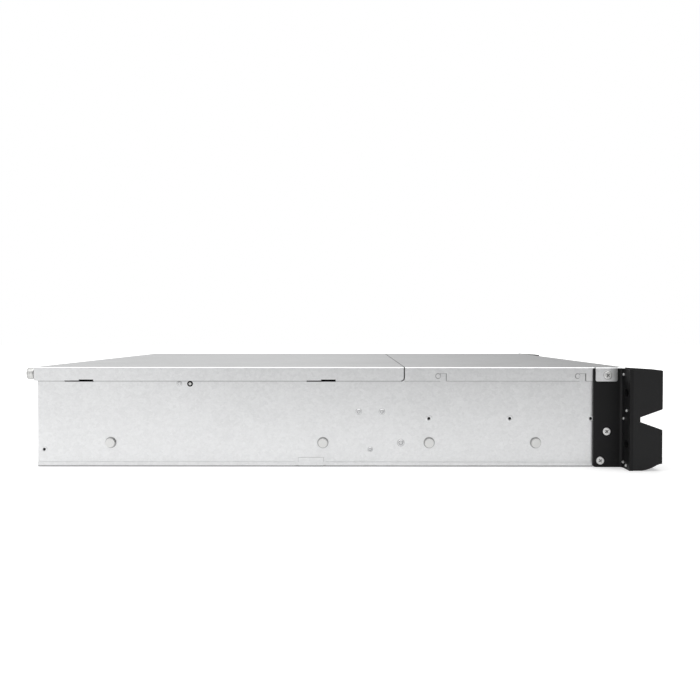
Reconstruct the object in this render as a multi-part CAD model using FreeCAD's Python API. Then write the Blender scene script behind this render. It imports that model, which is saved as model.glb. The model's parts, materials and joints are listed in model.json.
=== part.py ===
import FreeCAD
import Part
import math
import os

# Disk shelf enclosure, two rack units high, holding twelve disks in front trays. Millimetres.
# X runs across the shelf, Y from front to rear and Z up. The origin is in the underside,
# midway across, in the plane of the rack flanges' rear faces.

# ---------------------------------------------------------------- driving dimensions
# sheets and clearances
pan_sheet = 1.0
wall_sheet = 1.0
cover_sheet = 1.0
bracket_sheet = 3.0
cage_sheet = 1.0
slide_gap = 0.1            # between sheets that lie on each other
run_gap = 0.3              # between a moving piece and its guide
pivot_gap = 0.15           # round a many-sided pin, shaft or button
screw_gap = 0.1            # round a screw's shank

# disks and their bays
columns = 4
rows = 3
disk_width = 101.6
disk_height = 26.1
disk_length = 147.0
disk_front = 16.0          # disk's front end, behind the flange plane
tray_side = 2.4            # tray rail beside the disk
tray_strap = 0.6           # tray strap under the disk
head_room = 0.5            # over the disk
ledge_sheet = 0.8
ledge_width = 4.0
cage_gap = 0.9             # between the outer cage wall and the side wall
connector_room = 12.0      # from the disk's rear end to the backplane

# body
body_front = -2.5          # front edge of the side walls and the cover
seam_behind_backplane = 16.4
rear_bay_depth = 324.3     # from the cover seam to the side walls' rear edge
cover_overhang = 3.0       # rear cover behind the side walls
cover_flange = 12.2        # side flange of the covers
seam_gap = 0.4
top_flange = 10.0          # inward flange along the top of a side wall
pan_lip = 3.9              # outer lip of the bottom pan
lip_bend = 0.8             # outside of the lip's bend
lip_tab_rise = 4.0
lip_tab_front = 262.8
lip_tab_length = 22.3
bend_radius = 1.6          # outside of the covers' bends

# rack brackets and ears
rack_hole_reach = 13.05     # rack hole beyond the body's side
rack_flange_edge = 8.75    # flange beyond the rack hole
plate_length = 25.2        # side plate of the rack bracket
plate_corner = 2.2
bracket_bend = 2.5
ear_wall = 2.0
ear_depth = 25.1           # ear in front of its flange
ear_body_gap = 0.5         # between the ear and the plane of the side wall
ear_margin = 0.2           # of the ear's ends inside the body's height
ear_corner = 1.2
insert_thickness = 2.7
insert_margin = 0.3
insert_step = 0.8          # insert's lower edge above the ear's toe
notch_root = 6.1           # notch root in front of the flange
notch_mouth = 17.6
notch_root_height = 4.0
ear_top_fall = 1.6         # ear's top slopes down to the front
ear_toe_rise = 4.7         # ear's underside rises to the front
ear_toe_start = 7.5        # where that rise starts, in front of the flange
ear_toe_end = 4.8          # where it ends, behind the ear's front
rack_hole_rise = 44.45
rack_slot_length = 10.0
rack_slot_radius = 3.4
screw_tunnel = 6.0         # radius of the way to each rack screw
tunnel_wall = 1.8
id_button_height = 31.2
id_button_inset = 3.9      # from the ear's inner side
id_button_radius = 1.9
id_button_length = 6.0

# cover fixings
bayonet_pins = (38.7, 161.6)
bayonet_height = 7.9       # pin centre below the cover's top
bayonet_slot = 4.4
bayonet_proud = 0.4        # pin's end beyond the cover's flange
bayonet_pin = 2.1
bayonet_mouth = 5.3
bayonet_throw = 4.6        # from the pin to the middle of the slot's mouth
hook_fronts = (252.0, 466.2)
hook_half = 12.8
hook_notches = (1.2, 0.3)   # depth of a notch's front and rear half
hook_slot_low = 0.4        # slot in the side wall, below the flange's lower edge
hook_slot_rise = 2.0       # and above it
tab_front = 4.5
tab_length = 19.2
tab_drop = 12.4
tab_corner = 1.5
cover_corner = 2.5         # lower front corner of the rear cover's flange
thumb_across = 420.0       # between the two thumb screws
thumb_drop = 6.2           # thumb screw below the cover's top
thumb_radius = 5.25
thumb_head = 6.3
thumb_shank = 2.0
thumb_collar = 1.2
thumb_seat = 0.5           # head behind the cover's tab
rear_tab_width = 18.0

# seam member, rear panel and vents
member_depth = 15.0
member_height = 12.0
member_gap = 6.0           # behind the backplane
vent_pitch = 12.0
vent_width = 8.0
vent_margin = 4.0
vent_clear = 8.0           # above the ports
vent_head = 14.0           # below the top flanges
supply_lintel = 1.5        # panel left over the supply opening

# side wall fixings
stud_first = 75.3
stud_pitch = 94.0
stud_height = 21.1
stud_radius = 4.1
stud_proud = 3.0
side_hole_first = 26.8
side_hole_pitch = 71.4
side_hole_height = 42.6
side_hole_radius = 1.25
rear_hole_inset = 5.3
rear_hole_height = 15.0
# rivets as (behind the flange plane, height, head radius)
rivets = ((231.7, 48.6, 2.25), (211.1, 48.6, 2.25), (194.4, 21.0, 2.75), (221.5, 15.2, 1.85),
          (390.3, 73.4, 2.2), (380.8, 73.2, 2.2))
rivet_proud = 0.8
screw_head = 3.5
screw_proud = 1.2
screw_shank = 1.6
plate_screws = ((13.1, 31.3), (18.6, 5.4))
tab_screw = (11.9, 80.8)

# tray front and lever
bezel_front = -8.0
bezel_depth = 20.0
bezel_height = 26.6
bezel_wall = 1.6
lever_gap = 0.6
lever_sheet = 4.7
lever_bottom = 3.6
lever_height = 16.0
lever_reach = 97.0         # from the pivot to the lever's free end
pivot_inset = 5.0
pivot_radius = 1.0
lever_slots = 6
lever_slot_start = 8.0     # from the pivot
lever_slot_width = 9.4
lever_slot_pitch = 12.4
lever_slot_height = 10.0
grip_length = 8.0          # recessed thumb grip at the lever's free end
grip_depth = 0.6
grip_margin = 2.5
bezel_post = 12.0          # beside the bezel's air window
bezel_bar = 2.4            # of the lever behind the window's edges
rail_height = 20.0
rail_sheet = 2.0
rail_window = 30.0
rail_window_start = 60.0
rail_window_low = 6.0
rail_window_head = 5.0
strap_length = 12.0
straps = (44.0, 112.0)

# backplane
backplane_sheet = 2.4
backplane_inset = 2.0
connector_width = 42.0
connector_height = 8.0
connector_mate = 4.0       # into the disk
window_width = 70.0
window_height = 11.0
window_rise = 12.5         # above the row's floor

# fans
fan_size = 80.0
fan_depth = 38.0
fan_bore = 38.0
fan_pitch = 130.0
fan_count = 3
fan_behind_seam = 12.0
fan_hub = 17.0
fan_motor = 5.0            # depth of the boss that carries the motor
fan_strut = 4.0
fan_inset = 3.0            # rotor behind the frame's front
fan_shaft = 2.0
fan_flange = 32.0          # fan wall's flange along each side wall
fan_flange_low = 30.0
fan_flange_top = 64.0
fan_blades = 7
blade_angle = 50.0        # of a blade from the fan's axis
blade_chord = 28.0
blade_sheet = 1.8
fan_tip_gap = 1.2

# expander board
board_sheet = 1.6
board_rise = 7.0           # above the pan
board_left = -205.0
board_right = 105.0
board_length = 210.0
board_rear_gap = 2.0
board_margin = 12.0        # standoff centres from the board's edges
board_rear_margin = 45.0
standoff_radius = 3.0
chip_side = 30.0
chip_height = 2.0
chip_insets = (90.0, 80.0)  # chip centres from the board's left and right edges
chip_behind = 95.0         # chip centres behind the board's front
sink_side = 50.0
sink_base = 4.0
sink_height = 24.0
sink_fins = 9
sink_fin = 1.2
header_places = (40.0, 80.0, 120.0)
header_width = 24.0
header_depth = 10.0
header_height = 9.0
header_inset = 6.0
port_proud = 0.4           # port cages behind the side walls
port_centres = (-165.0, -140.0, -60.0, -35.0)
port_width = 19.0
port_height = 10.5
port_length = 40.0
port_socket_width = 14.6
port_socket_height = 7.2
port_socket_depth = 25.0

# power supplies
psu_centre = 157.0
psu_width = 73.5
psu_height = 40.0
psu_length = 185.0
psu_side_gap = 0.4
psu_proud = 0.8
psu_tongue = 7.5
tongue_width = 50.0
tongue_height = 1.6
tongue_centre = 10.0       # above the supply's underside
bay_behind = 4.0           # bay walls in front of the supplies
plug_gap = 1.0             # between a supply and its connector
plug_height = 8.0
plug_margin = 5.0          # connector beside its slot
plug_depth = 10.0
plug_slot_depth = 8.0
inlet_inset = 17.0         # inlet's middle from the supply's left side
inlet_width = 24.6
inlet_height = 16.8
inlet_depth = 15.0
inlet_pins = ((-7.0, -2.0), (0.0, 2.0), (7.0, -2.0))
inlet_pin = 2.0            # pin's width
inlet_pin_rise = 4.0
inlet_pin_stop = 5.0       # pin's end inside the inlet
handle_inset = 7.5         # handle from the supply's right side
handle_width = 32.0
handle_bar = 4.0
handle_sheet = 5.0
handle_reach = 22.0
handle_corner = 3.0
supply_vents = 7
supply_vent_pitch = 4.8
supply_vent_height = 2.4
supply_vent_depth = 6.0
latch_height = 13.2
latch_blade = 1.2
latch_length = 58.0
latch_tab = 13.0           # thumb tab behind the supply
latch_tab_width = 3.9
latch_corner = 1.5
latch_pocket = 4.0         # groove for the latch in the supply's side
latch_gap = 0.4

# ---------------------------------------------------------------- derived dimensions
column_pitch = disk_width + 2 * tray_side + 2 * run_gap + cage_sheet
row_pitch = disk_height + tray_strap + run_gap + ledge_sheet + head_room
body_width = columns * column_pitch + cage_sheet + 2 * (cage_gap + wall_sheet + slide_gap + cover_sheet)
body_height = pan_sheet + rows * row_pitch + wall_sheet + slide_gap + cover_sheet
half = body_width / 2
cover_under = body_height - cover_sheet
flange_low = body_height - cover_flange
wall_out = half - cover_sheet - slide_gap
wall_in = wall_out - wall_sheet
wall_top = cover_under - slide_gap
deck = wall_top - wall_sheet                 # underside of the side walls' top flanges
inside_top = deck - slide_gap
disk_rear = disk_front + disk_length
backplane_front = disk_rear + connector_room
seam = backplane_front + seam_behind_backplane
body_rear = seam + rear_bay_depth
cover_rear = body_rear + cover_overhang
rack_hole_span = body_width + 2 * rack_hole_reach
rack_width = rack_hole_span + 2 * rack_flange_edge
flange_half = rack_width / 2
plate_out = wall_out + bracket_sheet
tab_in = plate_out + slide_gap
tab_out = tab_in + cover_sheet
flange_front = -bracket_sheet
ear_front = flange_front - ear_depth
ear_inner = wall_out + ear_body_gap
ear_low = ear_margin + ear_toe_rise
middle = body_height / 2
cage_front = body_front + run_gap
cage_rear = backplane_front - slide_gap
tray_width = column_pitch - cage_sheet - 2 * run_gap
rear_panel_front = body_rear - wall_sheet
psu_rear = body_rear + psu_proud
psu_front = psu_rear - psu_length
bay_inner = psu_width / 2 + psu_side_gap
board_rear = rear_panel_front - board_rear_gap
board_top = pan_sheet + board_rise + board_sheet
fan_bracket_front = seam + fan_behind_seam
fan_front = fan_bracket_front + wall_sheet + slide_gap
fan_rear = fan_front + fan_depth
fan_centre_z = (pan_sheet + inside_top) / 2
id_button_x = -(ear_inner + id_button_inset)


# ---------------------------------------------------------------- helpers
def vec(x, y, z):
    return FreeCAD.Vector(x, y, z)


def box(x0, x1, y0, y1, z0, z1):
    """A box between two corners, given per axis."""
    return Part.makeBox(x1 - x0, y1 - y0, z1 - z0, vec(x0, y0, z0))


def rod(radius, start, end):
    """A round bar between two points."""
    start, end = vec(*start), vec(*end)
    return Part.makeCylinder(radius, (end - start).Length, start, end - start)


def peg(radius, start, end, sides=8):
    """A light many-sided bar between two points along X, Y or Z, for round details that repeat."""
    start, end = vec(*start), vec(*end)
    along = (end - start).normalize()
    first = vec(along.y, along.z, along.x)
    second = along.cross(first)
    turns = [2 * math.pi * step / sides for step in range(sides)]
    corners = [start + first * (radius * math.cos(turn)) + second * (radius * math.sin(turn))
               for turn in turns]
    return Part.Face(Part.makePolygon(corners + corners[:1])).extrude(end - start)


def prism(points, along):
    """A closed straight-sided outline, extruded."""
    corners = [vec(*point) for point in points]
    return Part.Face(Part.makePolygon(corners + corners[:1])).extrude(vec(*along))


def mirrored(shape):
    """The same piece for the other side of the shelf."""
    return shape.mirror(vec(0, 0, 0), vec(1, 0, 0))


def both_sides(solids):
    return solids + [mirrored(solid) for solid in solids]


def fused(first, *others):
    return first.multiFuse(list(others)).removeSplitter()


def rounded(shape, radius, picks):
    """The shape with every straight edge that picks() accepts, by its middle and direction, rounded."""
    edges = []
    for edge in shape.Edges:
        if isinstance(edge.Curve, Part.Line):
            ends = [vertex.Point for vertex in edge.Vertexes]
            if picks((ends[0] + ends[1]) * 0.5, (ends[1] - ends[0]).normalize()):
                edges.append(edge)
    return shape.makeFillet(radius, edges)


def near(value, target):
    return abs(value - target) < 0.01


def export(name, solids):
    """Writes one node, as a solid or as a group of separate solids."""
    shape = solids[0] if len(solids) == 1 else Part.makeCompound(solids)
    shape.exportStep("parts/" + name + ".step")


# ---------------------------------------------------------------- chassis sheets
def side_hole_places():
    """Tapped holes of one side, as (behind the flange plane, height)."""
    places = [(side_hole_first + step * side_hole_pitch, side_hole_height) for step in range(3)]
    return places + [(body_rear - rear_hole_inset, rear_hole_height)]


def stud_places():
    return [stud_first + step * stud_pitch for step in (0, 1, 2, 4)]


def standoff_places():
    xs = (board_left + board_margin, (board_left + board_right) / 2, board_right - board_margin)
    ys = (board_rear - board_length + board_margin, board_rear - board_rear_margin)
    return [(x, y) for x in xs for y in ys]


def bottom_pan():
    """Floor with a low lip outside each side wall, a taller tab in each lip, and board standoffs."""
    lip_out = wall_out + pan_sheet
    lip_front = plate_length + run_gap
    pan = box(-wall_out, wall_out, body_front, body_rear, 0, pan_sheet)
    for side in (-1, 1):
        inner, outer = sorted((side * wall_out, side * lip_out))
        lip = box(inner, outer, lip_front, body_rear, 0, pan_lip)
        tab = box(inner, outer, lip_tab_front, lip_tab_front + lip_tab_length, 0, pan_lip + lip_tab_rise)
        relief = [box(inner, outer, y, y + 2, pan_sheet, pan_lip + 1)
                  for y in (lip_tab_front - 2, lip_tab_front + lip_tab_length)]
        lip = rounded(lip, lip_bend,
                      lambda mid, way: near(abs(mid.x), lip_out) and near(mid.z, 0) and near(abs(way.y), 1))
        pan = fused(pan, lip.cut(Part.makeCompound(relief)), tab)
    posts = [peg(standoff_radius, (x, y, pan_sheet / 2), (x, y, pan_sheet + board_rise), 6)
             for x, y in standoff_places()]
    return fused(pan, *posts)


def left_side_wall():
    """Side wall with its inward top flange, tapped holes, screw holes, hook slots and cover pins."""
    profile = [(-wall_out, 0, pan_sheet), (-wall_out, 0, wall_top), (-wall_out + top_flange, 0, wall_top),
               (-wall_out + top_flange, 0, deck), (-wall_in, 0, deck), (-wall_in, 0, pan_sheet)]
    wall = prism(profile, (0, body_rear - body_front, 0))
    wall.translate(vec(0, body_front, 0))
    wall = rounded(wall, bend_radius, lambda mid, way: near(mid.x, -wall_out) and near(mid.z, wall_top))
    x0, x1 = -wall_out - 1, -wall_in + 1
    holes = [rod(side_hole_radius, (x0, y, z), (x1, y, z)) for y, z in side_hole_places()]
    holes += [peg(screw_shank + screw_gap, (x0, y, z), (x1, y, z)) for y, z in plate_screws + (tab_screw,)]
    holes += [box(x0, x1, y, y + 2 * hook_half, flange_low - hook_slot_low, flange_low + hook_slot_rise)
              for y in hook_fronts]
    wall = wall.cut(Part.makeCompound(holes))
    pin_z = body_height - bayonet_height
    pins = [peg(bayonet_pin, (-wall_out + wall_sheet / 2, y, pin_z), (-half - bayonet_proud, y, pin_z))
            for y in bayonet_pins]
    return fused(wall, *pins)


def rear_panel():
    """Rear wall with the supply opening, port cut-outs, vent slots and the thumb screws' holes."""
    panel = box(-wall_in + slide_gap, wall_in - slide_gap, rear_panel_front, body_rear, pan_sheet, inside_top)
    y0, y1 = rear_panel_front - 1, body_rear + 1
    cuts = [box(psu_centre - bay_inner, psu_centre + bay_inner, y0, y1,
                pan_sheet - 1, inside_top - supply_lintel)]
    for x in port_centres:
        reach = port_width / 2 + run_gap
        cuts.append(box(x - reach, x + reach, y0, y1, board_top - run_gap, board_top + port_height + run_gap))
    vent_low, vent_high = board_top + port_height + vent_clear, inside_top - vent_head
    for step in range(int((board_right - board_left - 2 * vent_margin) // vent_pitch)):
        x = board_left + vent_margin + step * vent_pitch
        cuts.append(box(x, x + vent_width, y0, y1, vent_low, vent_high))
    thumb_z = body_height - thumb_drop
    for x in (-thumb_across / 2, thumb_across / 2):
        cuts.append(peg(thumb_shank + pivot_gap, (x, y0, thumb_z), (x, y1, thumb_z), 10))
    return panel.cut(Part.makeCompound(cuts))


def bent_cover(front, rear):
    """Top sheet with a side flange bent down along each side."""
    def top_bend(reach, height):
        return lambda mid, way: near(abs(mid.x), reach) and near(mid.z, height) and near(abs(way.y), 1)
    outer = box(-half, half, front, rear, flange_low, body_height)
    outer = rounded(outer, bend_radius, top_bend(half, body_height))
    reach = half - cover_sheet
    hollow = box(-reach, reach, front - 1, rear + 1, flange_low - 1, cover_under)
    hollow = rounded(hollow, bend_radius - cover_sheet, top_bend(reach, cover_under))
    return outer.cut(hollow)


def bayonet_cut(pin_y):
    """Slot that opens at the flange's lower edge and runs back to the pin, cut through both flanges."""
    z = body_height - bayonet_height
    mouth = pin_y - bayonet_throw
    radius = bayonet_slot / 2
    reach = bayonet_mouth / 2
    leg = box(-half - 1, half + 1, mouth - reach, mouth + reach, flange_low - 1, z + radius)
    run = box(-half - 1, half + 1, mouth, pin_y, z - radius, z + radius)
    return fused(leg, run, peg(radius, (-half - 1, pin_y, z), (half + 1, pin_y, z), 12))


def front_cover():
    """Cover over the disk bays, with bayonet slots and a stepped tab over each rack bracket."""
    cover = bent_cover(body_front, seam - seam_gap / 2)
    flange_start = plate_length + run_gap
    cuts = [bayonet_cut(y) for y in bayonet_pins]
    for side in (-1, 1):
        inner, outer = sorted((side * (half - 4), side * (half + 1)))
        cuts.append(box(inner, outer, body_front - 1, flange_start, flange_low - 1, cover_under))
    cover = cover.cut(Part.makeCompound(cuts))
    tab_rear = tab_front + tab_length
    top = box(half - 3, tab_out, tab_front, tab_rear, cover_under, body_height)
    drop = box(tab_in, tab_out, tab_front, tab_rear, body_height - tab_drop, body_height)
    tab = fused(top, drop)
    tab = rounded(tab, bend_radius, lambda mid, way: near(mid.x, tab_out) and near(mid.z, body_height))
    tab = rounded(tab, tab_corner,
                  lambda mid, way: near(mid.z, body_height - tab_drop) and near(abs(way.x), 1))
    y, z = tab_screw
    tab = tab.cut(peg(screw_shank + screw_gap, (tab_in - 1, y, z), (tab_out + 1, y, z)))
    return fused(cover, tab, mirrored(tab))


def rear_cover():
    """Sliding cover over the electronics, with hook notches and a drilled tab at each rear corner."""
    cover = bent_cover(seam + seam_gap / 2, cover_rear)
    cuts = []
    for y in hook_fronts:
        for step, depth in enumerate(hook_notches):
            start = y + step * hook_half
            cuts.append(box(-half - 1, half + 1, start, start + hook_half,
                            flange_low - 1, flange_low + depth))
    cover = cover.cut(Part.makeCompound(cuts))
    z = body_height - thumb_drop
    for side in (-1, 1):
        x = side * thumb_across / 2
        tab = box(x - rear_tab_width / 2, x + rear_tab_width / 2, cover_rear - cover_sheet, cover_rear,
                  flange_low, body_height - cover_sheet / 2)
        tab = tab.cut(peg(thumb_shank + pivot_gap, (x, cover_rear - 5, z), (x, cover_rear + 5, z), 10))
        cover = fused(cover, tab)
    return rounded(cover, cover_corner,
                   lambda mid, way: near(mid.y, seam + seam_gap / 2) and near(mid.z, flange_low))


def cross_member():
    """Inverted channel across the chassis under the seam between the covers."""
    reach = wall_in - slide_gap
    low = inside_top - member_height
    front = backplane_front + backplane_sheet + member_gap
    rear = front + member_depth
    outer = box(-reach, reach, front, rear, low, inside_top)
    hollow = box(-reach - 1, reach + 1, front + cage_sheet, rear - cage_sheet,
                 low - 1, inside_top - cage_sheet)
    return outer.cut(hollow)


# ---------------------------------------------------------------- rack brackets and ears
def rack_slot_heights():
    return (middle - rack_hole_rise / 2, middle + rack_hole_rise / 2)


def left_rack_bracket():
    """Steel angle: a plate on the side wall and a slotted flange for the rack post."""
    profile = [(-wall_out, plate_length, 0), (-wall_out, flange_front, 0), (-flange_half, flange_front, 0),
               (-flange_half, 0, 0), (-plate_out, 0, 0), (-plate_out, plate_length, 0)]
    angle = prism(profile, (0, 0, wall_top))
    angle = rounded(angle, bracket_bend, lambda mid, way: near(mid.x, -plate_out) and near(mid.y, 0))
    angle = rounded(angle, plate_corner, lambda mid, way: near(mid.y, plate_length) and near(abs(way.x), 1))
    cuts = []
    x = rack_hole_span / 2
    end = rack_slot_length / 2 - rack_slot_radius
    for z in rack_slot_heights():
        cuts.append(box(-x - end, -x + end, flange_front - 1, 1, z - rack_slot_radius, z + rack_slot_radius))
        cuts += [rod(rack_slot_radius, (round_x, flange_front - 1, z), (round_x, 1, z))
                 for round_x in (-x - end, -x + end)]
    cuts += [peg(screw_shank + screw_gap, (-plate_out - 1, y, z), (-wall_out + 1, y, z))
             for y, z in plate_screws + (tab_screw,)]
    return angle.cut(Part.makeCompound(cuts))


def notch_half(y):
    """Half the height of the ear's notch, which narrows from its mouth to its root."""
    root = flange_front - notch_root
    fall = (notch_mouth - notch_root_height) / 2 / (root - ear_front)
    return notch_root_height / 2 + (root - y) * fall


def ear_outline(front, inset):
    """Side outline of an ear between its flange and the given front, drawn smaller by the inset."""
    root = flange_front - notch_root + inset
    toe = flange_front - ear_toe_start
    toe_end = ear_front + ear_toe_end
    low = ear_margin + inset
    start = vec(0, flange_front, low)
    toe_points = [vec(0, toe, low), vec(0, (toe + toe_end) / 2, low + ear_toe_rise / 3),
                  vec(0, toe_end, low + ear_toe_rise)]
    lower_front = front + inset
    upper_front = ear_front + inset
    top_rear = body_height - ear_margin - inset
    corners = [toe_points[2], vec(0, lower_front, low + ear_toe_rise + insert_step),
               vec(0, lower_front, middle - notch_half(lower_front) - inset),
               vec(0, root, middle - notch_root_height / 2 - inset),
               vec(0, root, middle + notch_root_height / 2 + inset),
               vec(0, upper_front, middle + notch_half(upper_front) + inset),
               vec(0, upper_front, top_rear - ear_top_fall), vec(0, flange_front, top_rear), start]
    edges = [Part.makeLine(start, toe_points[0]), Part.Arc(*toe_points).toShape()]
    edges += [Part.makeLine(a, b) for a, b in zip(corners, corners[1:])]
    return Part.Face(Part.Wire(edges))


def ear_tunnels():
    x = rack_hole_span / 2
    return [peg(screw_tunnel, (-x, flange_front, z), (-x, ear_front - 1, z), 16) for z in rack_slot_heights()]


def left_ear_cover():
    """Hollow moulded ear with a notch across it and a tunnel to each rack screw."""
    front = ear_front + insert_thickness
    width = flange_half - ear_inner
    shell = ear_outline(front, 0).extrude(vec(width, 0, 0))
    shell.translate(vec(-flange_half, 0, 0))
    shell = rounded(shell, ear_corner, lambda mid, way: near(abs(way.x), 1) and near(mid.y, ear_front))
    hollow = ear_outline(front, ear_wall).extrude(vec(width - 2 * ear_wall, 0, 0))
    hollow.translate(vec(-flange_half + ear_wall, 0, 0))
    x = rack_hole_span / 2
    bosses = [peg(screw_tunnel + tunnel_wall, (-x, flange_front, z), (-x, front - 1, z), 16).common(shell)
              for z in rack_slot_heights()]
    ear = fused(shell.cut(hollow), *bosses)
    ear = ear.cut(Part.makeCompound(ear_tunnels()))
    return ear.Solids[0]


def left_ear_insert():
    """Thin face piece on the lower half of the ear."""
    back = ear_front + insert_thickness
    outer = -flange_half + insert_margin
    low = ear_low + insert_step
    profile = [(outer, back, low), (outer, ear_front, low + insert_step / 2),
               (outer, ear_front, middle - notch_half(ear_front)), (outer, back, middle - notch_half(back))]
    insert = prism(profile, (flange_half - ear_inner - 2 * insert_margin, 0, 0))
    return insert.cut(Part.makeCompound(ear_tunnels()))


def id_button_hole():
    return peg(id_button_radius + pivot_gap, (id_button_x, ear_front - 1, id_button_height),
               (id_button_x, ear_front + insert_thickness + ear_wall + 1, id_button_height), 12)


def id_button():
    """Round button in the left insert, flush with its face."""
    y = ear_front + slide_gap
    return peg(id_button_radius, (id_button_x, y, id_button_height),
               (id_button_x, y + id_button_length, id_button_height), 12)


# ---------------------------------------------------------------- fasteners
def rail_studs():
    """Shouldered studs that the rack rails hook on."""
    studs = []
    for y in stud_places():
        studs.append(rod(stud_radius, (-wall_out, y, stud_height), (-wall_out - stud_proud, y, stud_height)))
    return both_sides(studs)


def side_rivets():
    heads = []
    for y, z, radius in rivets:
        heads.append(peg(radius, (-wall_out, y, z), (-wall_out - rivet_proud, y, z)))
    return both_sides(heads)


def bracket_screws():
    screws = []
    for y, z, seat in [(y, z, plate_out) for y, z in plate_screws] + [tab_screw + (tab_out,)]:
        head = peg(screw_head, (-seat, y, z), (-seat - screw_proud, y, z), 12)
        shank = peg(screw_shank, (-seat - screw_proud / 2, y, z), (-wall_in + cage_gap / 2, y, z))
        screws.append(fused(head, shank))
    return both_sides(screws)


def left_thumb_screw():
    """Thumb screw head on a shank that runs through the cover's tab into the rear panel."""
    x, z = -thumb_across / 2, body_height - thumb_drop
    seat = cover_rear + thumb_seat
    head = peg(thumb_radius, (x, seat, z), (x, seat + thumb_head, z), 20)
    neck = peg(thumb_shank, (x, rear_panel_front - thumb_collar, z), (x, seat + 1, z), 10)
    collar = peg(thumb_shank + thumb_collar, (x, cover_rear + slide_gap, z), (x, seat + 1, z), 10)
    return fused(head, neck, collar)


# ---------------------------------------------------------------- disk bays
def row_floor(row):
    return pan_sheet + row * row_pitch


def column_centre(column):
    return (column - (columns - 1) / 2) * column_pitch


def cage_walls():
    """Upright walls between and beside the columns, with ledges that carry the trays."""
    walls = []
    top = inside_top
    for line in range(columns + 1):
        x = (line - columns / 2) * column_pitch
        reach = cage_sheet / 2
        left = reach + (ledge_width if line > 0 else 0)
        right = reach + (ledge_width if line < columns else 0)
        wall = box(x - reach, x + reach, cage_front, cage_rear, pan_sheet, top)
        ledges = [box(x - left, x + right, cage_front, cage_rear, floor - ledge_sheet, floor)
                  for floor in map(row_floor, range(1, rows))]
        wall = fused(wall, *ledges)
        if line in (0, columns):
            side = -1 if line == 0 else 1
            inner, outer = sorted((side * (wall_in - 4), side * wall_in))
            holes = [box(inner, outer, y - 3, y + 3, z - 3, z + 3) for y, z in side_hole_places()[:3]]
            wall = wall.cut(Part.makeCompound(holes))
        walls.append(wall)
    return walls


def tray_frame(x, z):
    """Moulded tray front with a recess for the lever and its pivot pin, two rails and two straps."""
    right = x + tray_width
    recess_back = bezel_front + lever_sheet + run_gap
    back = bezel_front + bezel_depth
    lever_low, lever_high = z + lever_bottom, z + lever_bottom + lever_height
    pivot = x + pivot_inset
    lever_end = pivot + lever_reach
    frame = box(x, right, bezel_front, back, z, z + bezel_height)
    recess = box(pivot - lever_sheet / 2 - run_gap, lever_end + lever_gap, bezel_front - 1, recess_back,
                 lever_low - run_gap, lever_high + run_gap)
    window = box(x + bezel_post, right - bezel_post, recess_back - 1, back + 1,
                 lever_low + bezel_bar, lever_high - bezel_bar)
    hollow = box(x + bezel_wall, right - bezel_wall, recess_back + bezel_wall, back + 1,
                 z + bezel_wall, z + bezel_height - bezel_wall)
    frame = frame.cut(recess).cut(window).cut(hollow)
    pin_y = bezel_front + lever_sheet / 2
    pin_low, pin_high = lever_low - 2 * run_gap, lever_high + 2 * run_gap
    pin = peg(pivot_radius, (pivot, pin_y, pin_low), (pivot, pin_y, pin_high), 6)
    side = tray_side - rail_sheet
    rails = [box(left, left + rail_sheet, back - bezel_wall, disk_rear - rail_sheet, z, z + rail_height)
             for left in (x + side, right - tray_side)]
    gap = box(x - 1, right + 1, rail_window_start, rail_window_start + rail_window,
              z + rail_window_low, z + rail_height - rail_window_head)
    rails = [rail.cut(gap) for rail in rails]
    bands = [box(x + side, right - side, y, y + strap_length, z, z + tray_strap) for y in straps]
    return fused(frame, pin, *rails, *bands)


def disk(x, z):
    """Disk between the tray's rails, notched at its rear for the backplane's socket."""
    left = x + tray_side
    body = box(left, left + disk_width, disk_front, disk_rear, z + tray_strap, z + tray_strap + disk_height)
    middle_x = left + disk_width / 2
    reach = connector_width / 2 + run_gap
    notch = box(middle_x - reach, middle_x + reach, disk_rear - connector_mate - run_gap, disk_rear + 1,
                z + tray_strap - 1, z + tray_strap + connector_height + 2 * run_gap)
    return body.cut(notch)


def lever(x, z):
    """Slotted lever across the tray front, round at its pivot, with a thumb grip at its free end."""
    low, high = z + lever_bottom, z + lever_bottom + lever_height
    pivot = x + pivot_inset
    pin_y = bezel_front + lever_sheet / 2
    back = bezel_front + lever_sheet
    end = pivot + lever_reach
    arm = box(pivot, end, bezel_front, back, low, high)
    arm = fused(arm, peg(lever_sheet / 2, (pivot, pin_y, low), (pivot, pin_y, high)))
    cuts = [peg(pivot_radius + pivot_gap, (pivot, pin_y, low - 1), (pivot, pin_y, high + 1), 6)]
    slot_low = low + (lever_height - lever_slot_height) / 2
    for step in range(lever_slots):
        left = pivot + lever_slot_start + step * lever_slot_pitch
        cuts.append(box(left, left + lever_slot_width, bezel_front - 1, back + 1,
                        slot_low, slot_low + lever_slot_height))
    grip_end = end - grip_margin
    cuts.append(box(grip_end - grip_length, grip_end, bezel_front - 1, bezel_front + grip_depth,
                    low + grip_margin, high - grip_margin))
    return arm.cut(Part.makeCompound(cuts))


def tray_places():
    """Lower left corner of each tray, with its number, from the top left."""
    number = 0
    for row in reversed(range(rows)):
        for column in range(columns):
            number += 1
            yield number, column_centre(column) - tray_width / 2, row_floor(row) + run_gap


# ---------------------------------------------------------------- backplane
def backplane():
    """Board behind the bays, with an air window over each socket."""
    reach = wall_in - backplane_inset
    board = box(-reach, reach, backplane_front, backplane_front + backplane_sheet,
                pan_sheet + backplane_inset, inside_top - backplane_inset)
    windows = []
    for row in range(rows):
        for column in range(columns):
            x, z = column_centre(column), row_floor(row) + window_rise
            windows.append(box(x - window_width / 2, x + window_width / 2, backplane_front - 1,
                               backplane_front + backplane_sheet + 1, z, z + window_height))
    return board.cut(Part.makeCompound(windows))


def backplane_sockets():
    sockets = []
    for _, x, z in tray_places():
        centre = x + tray_width / 2
        low = z + tray_strap + run_gap
        sockets.append(box(centre - connector_width / 2, centre + connector_width / 2,
                           disk_rear - connector_mate, backplane_front, low, low + connector_height))
    return sockets


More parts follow.
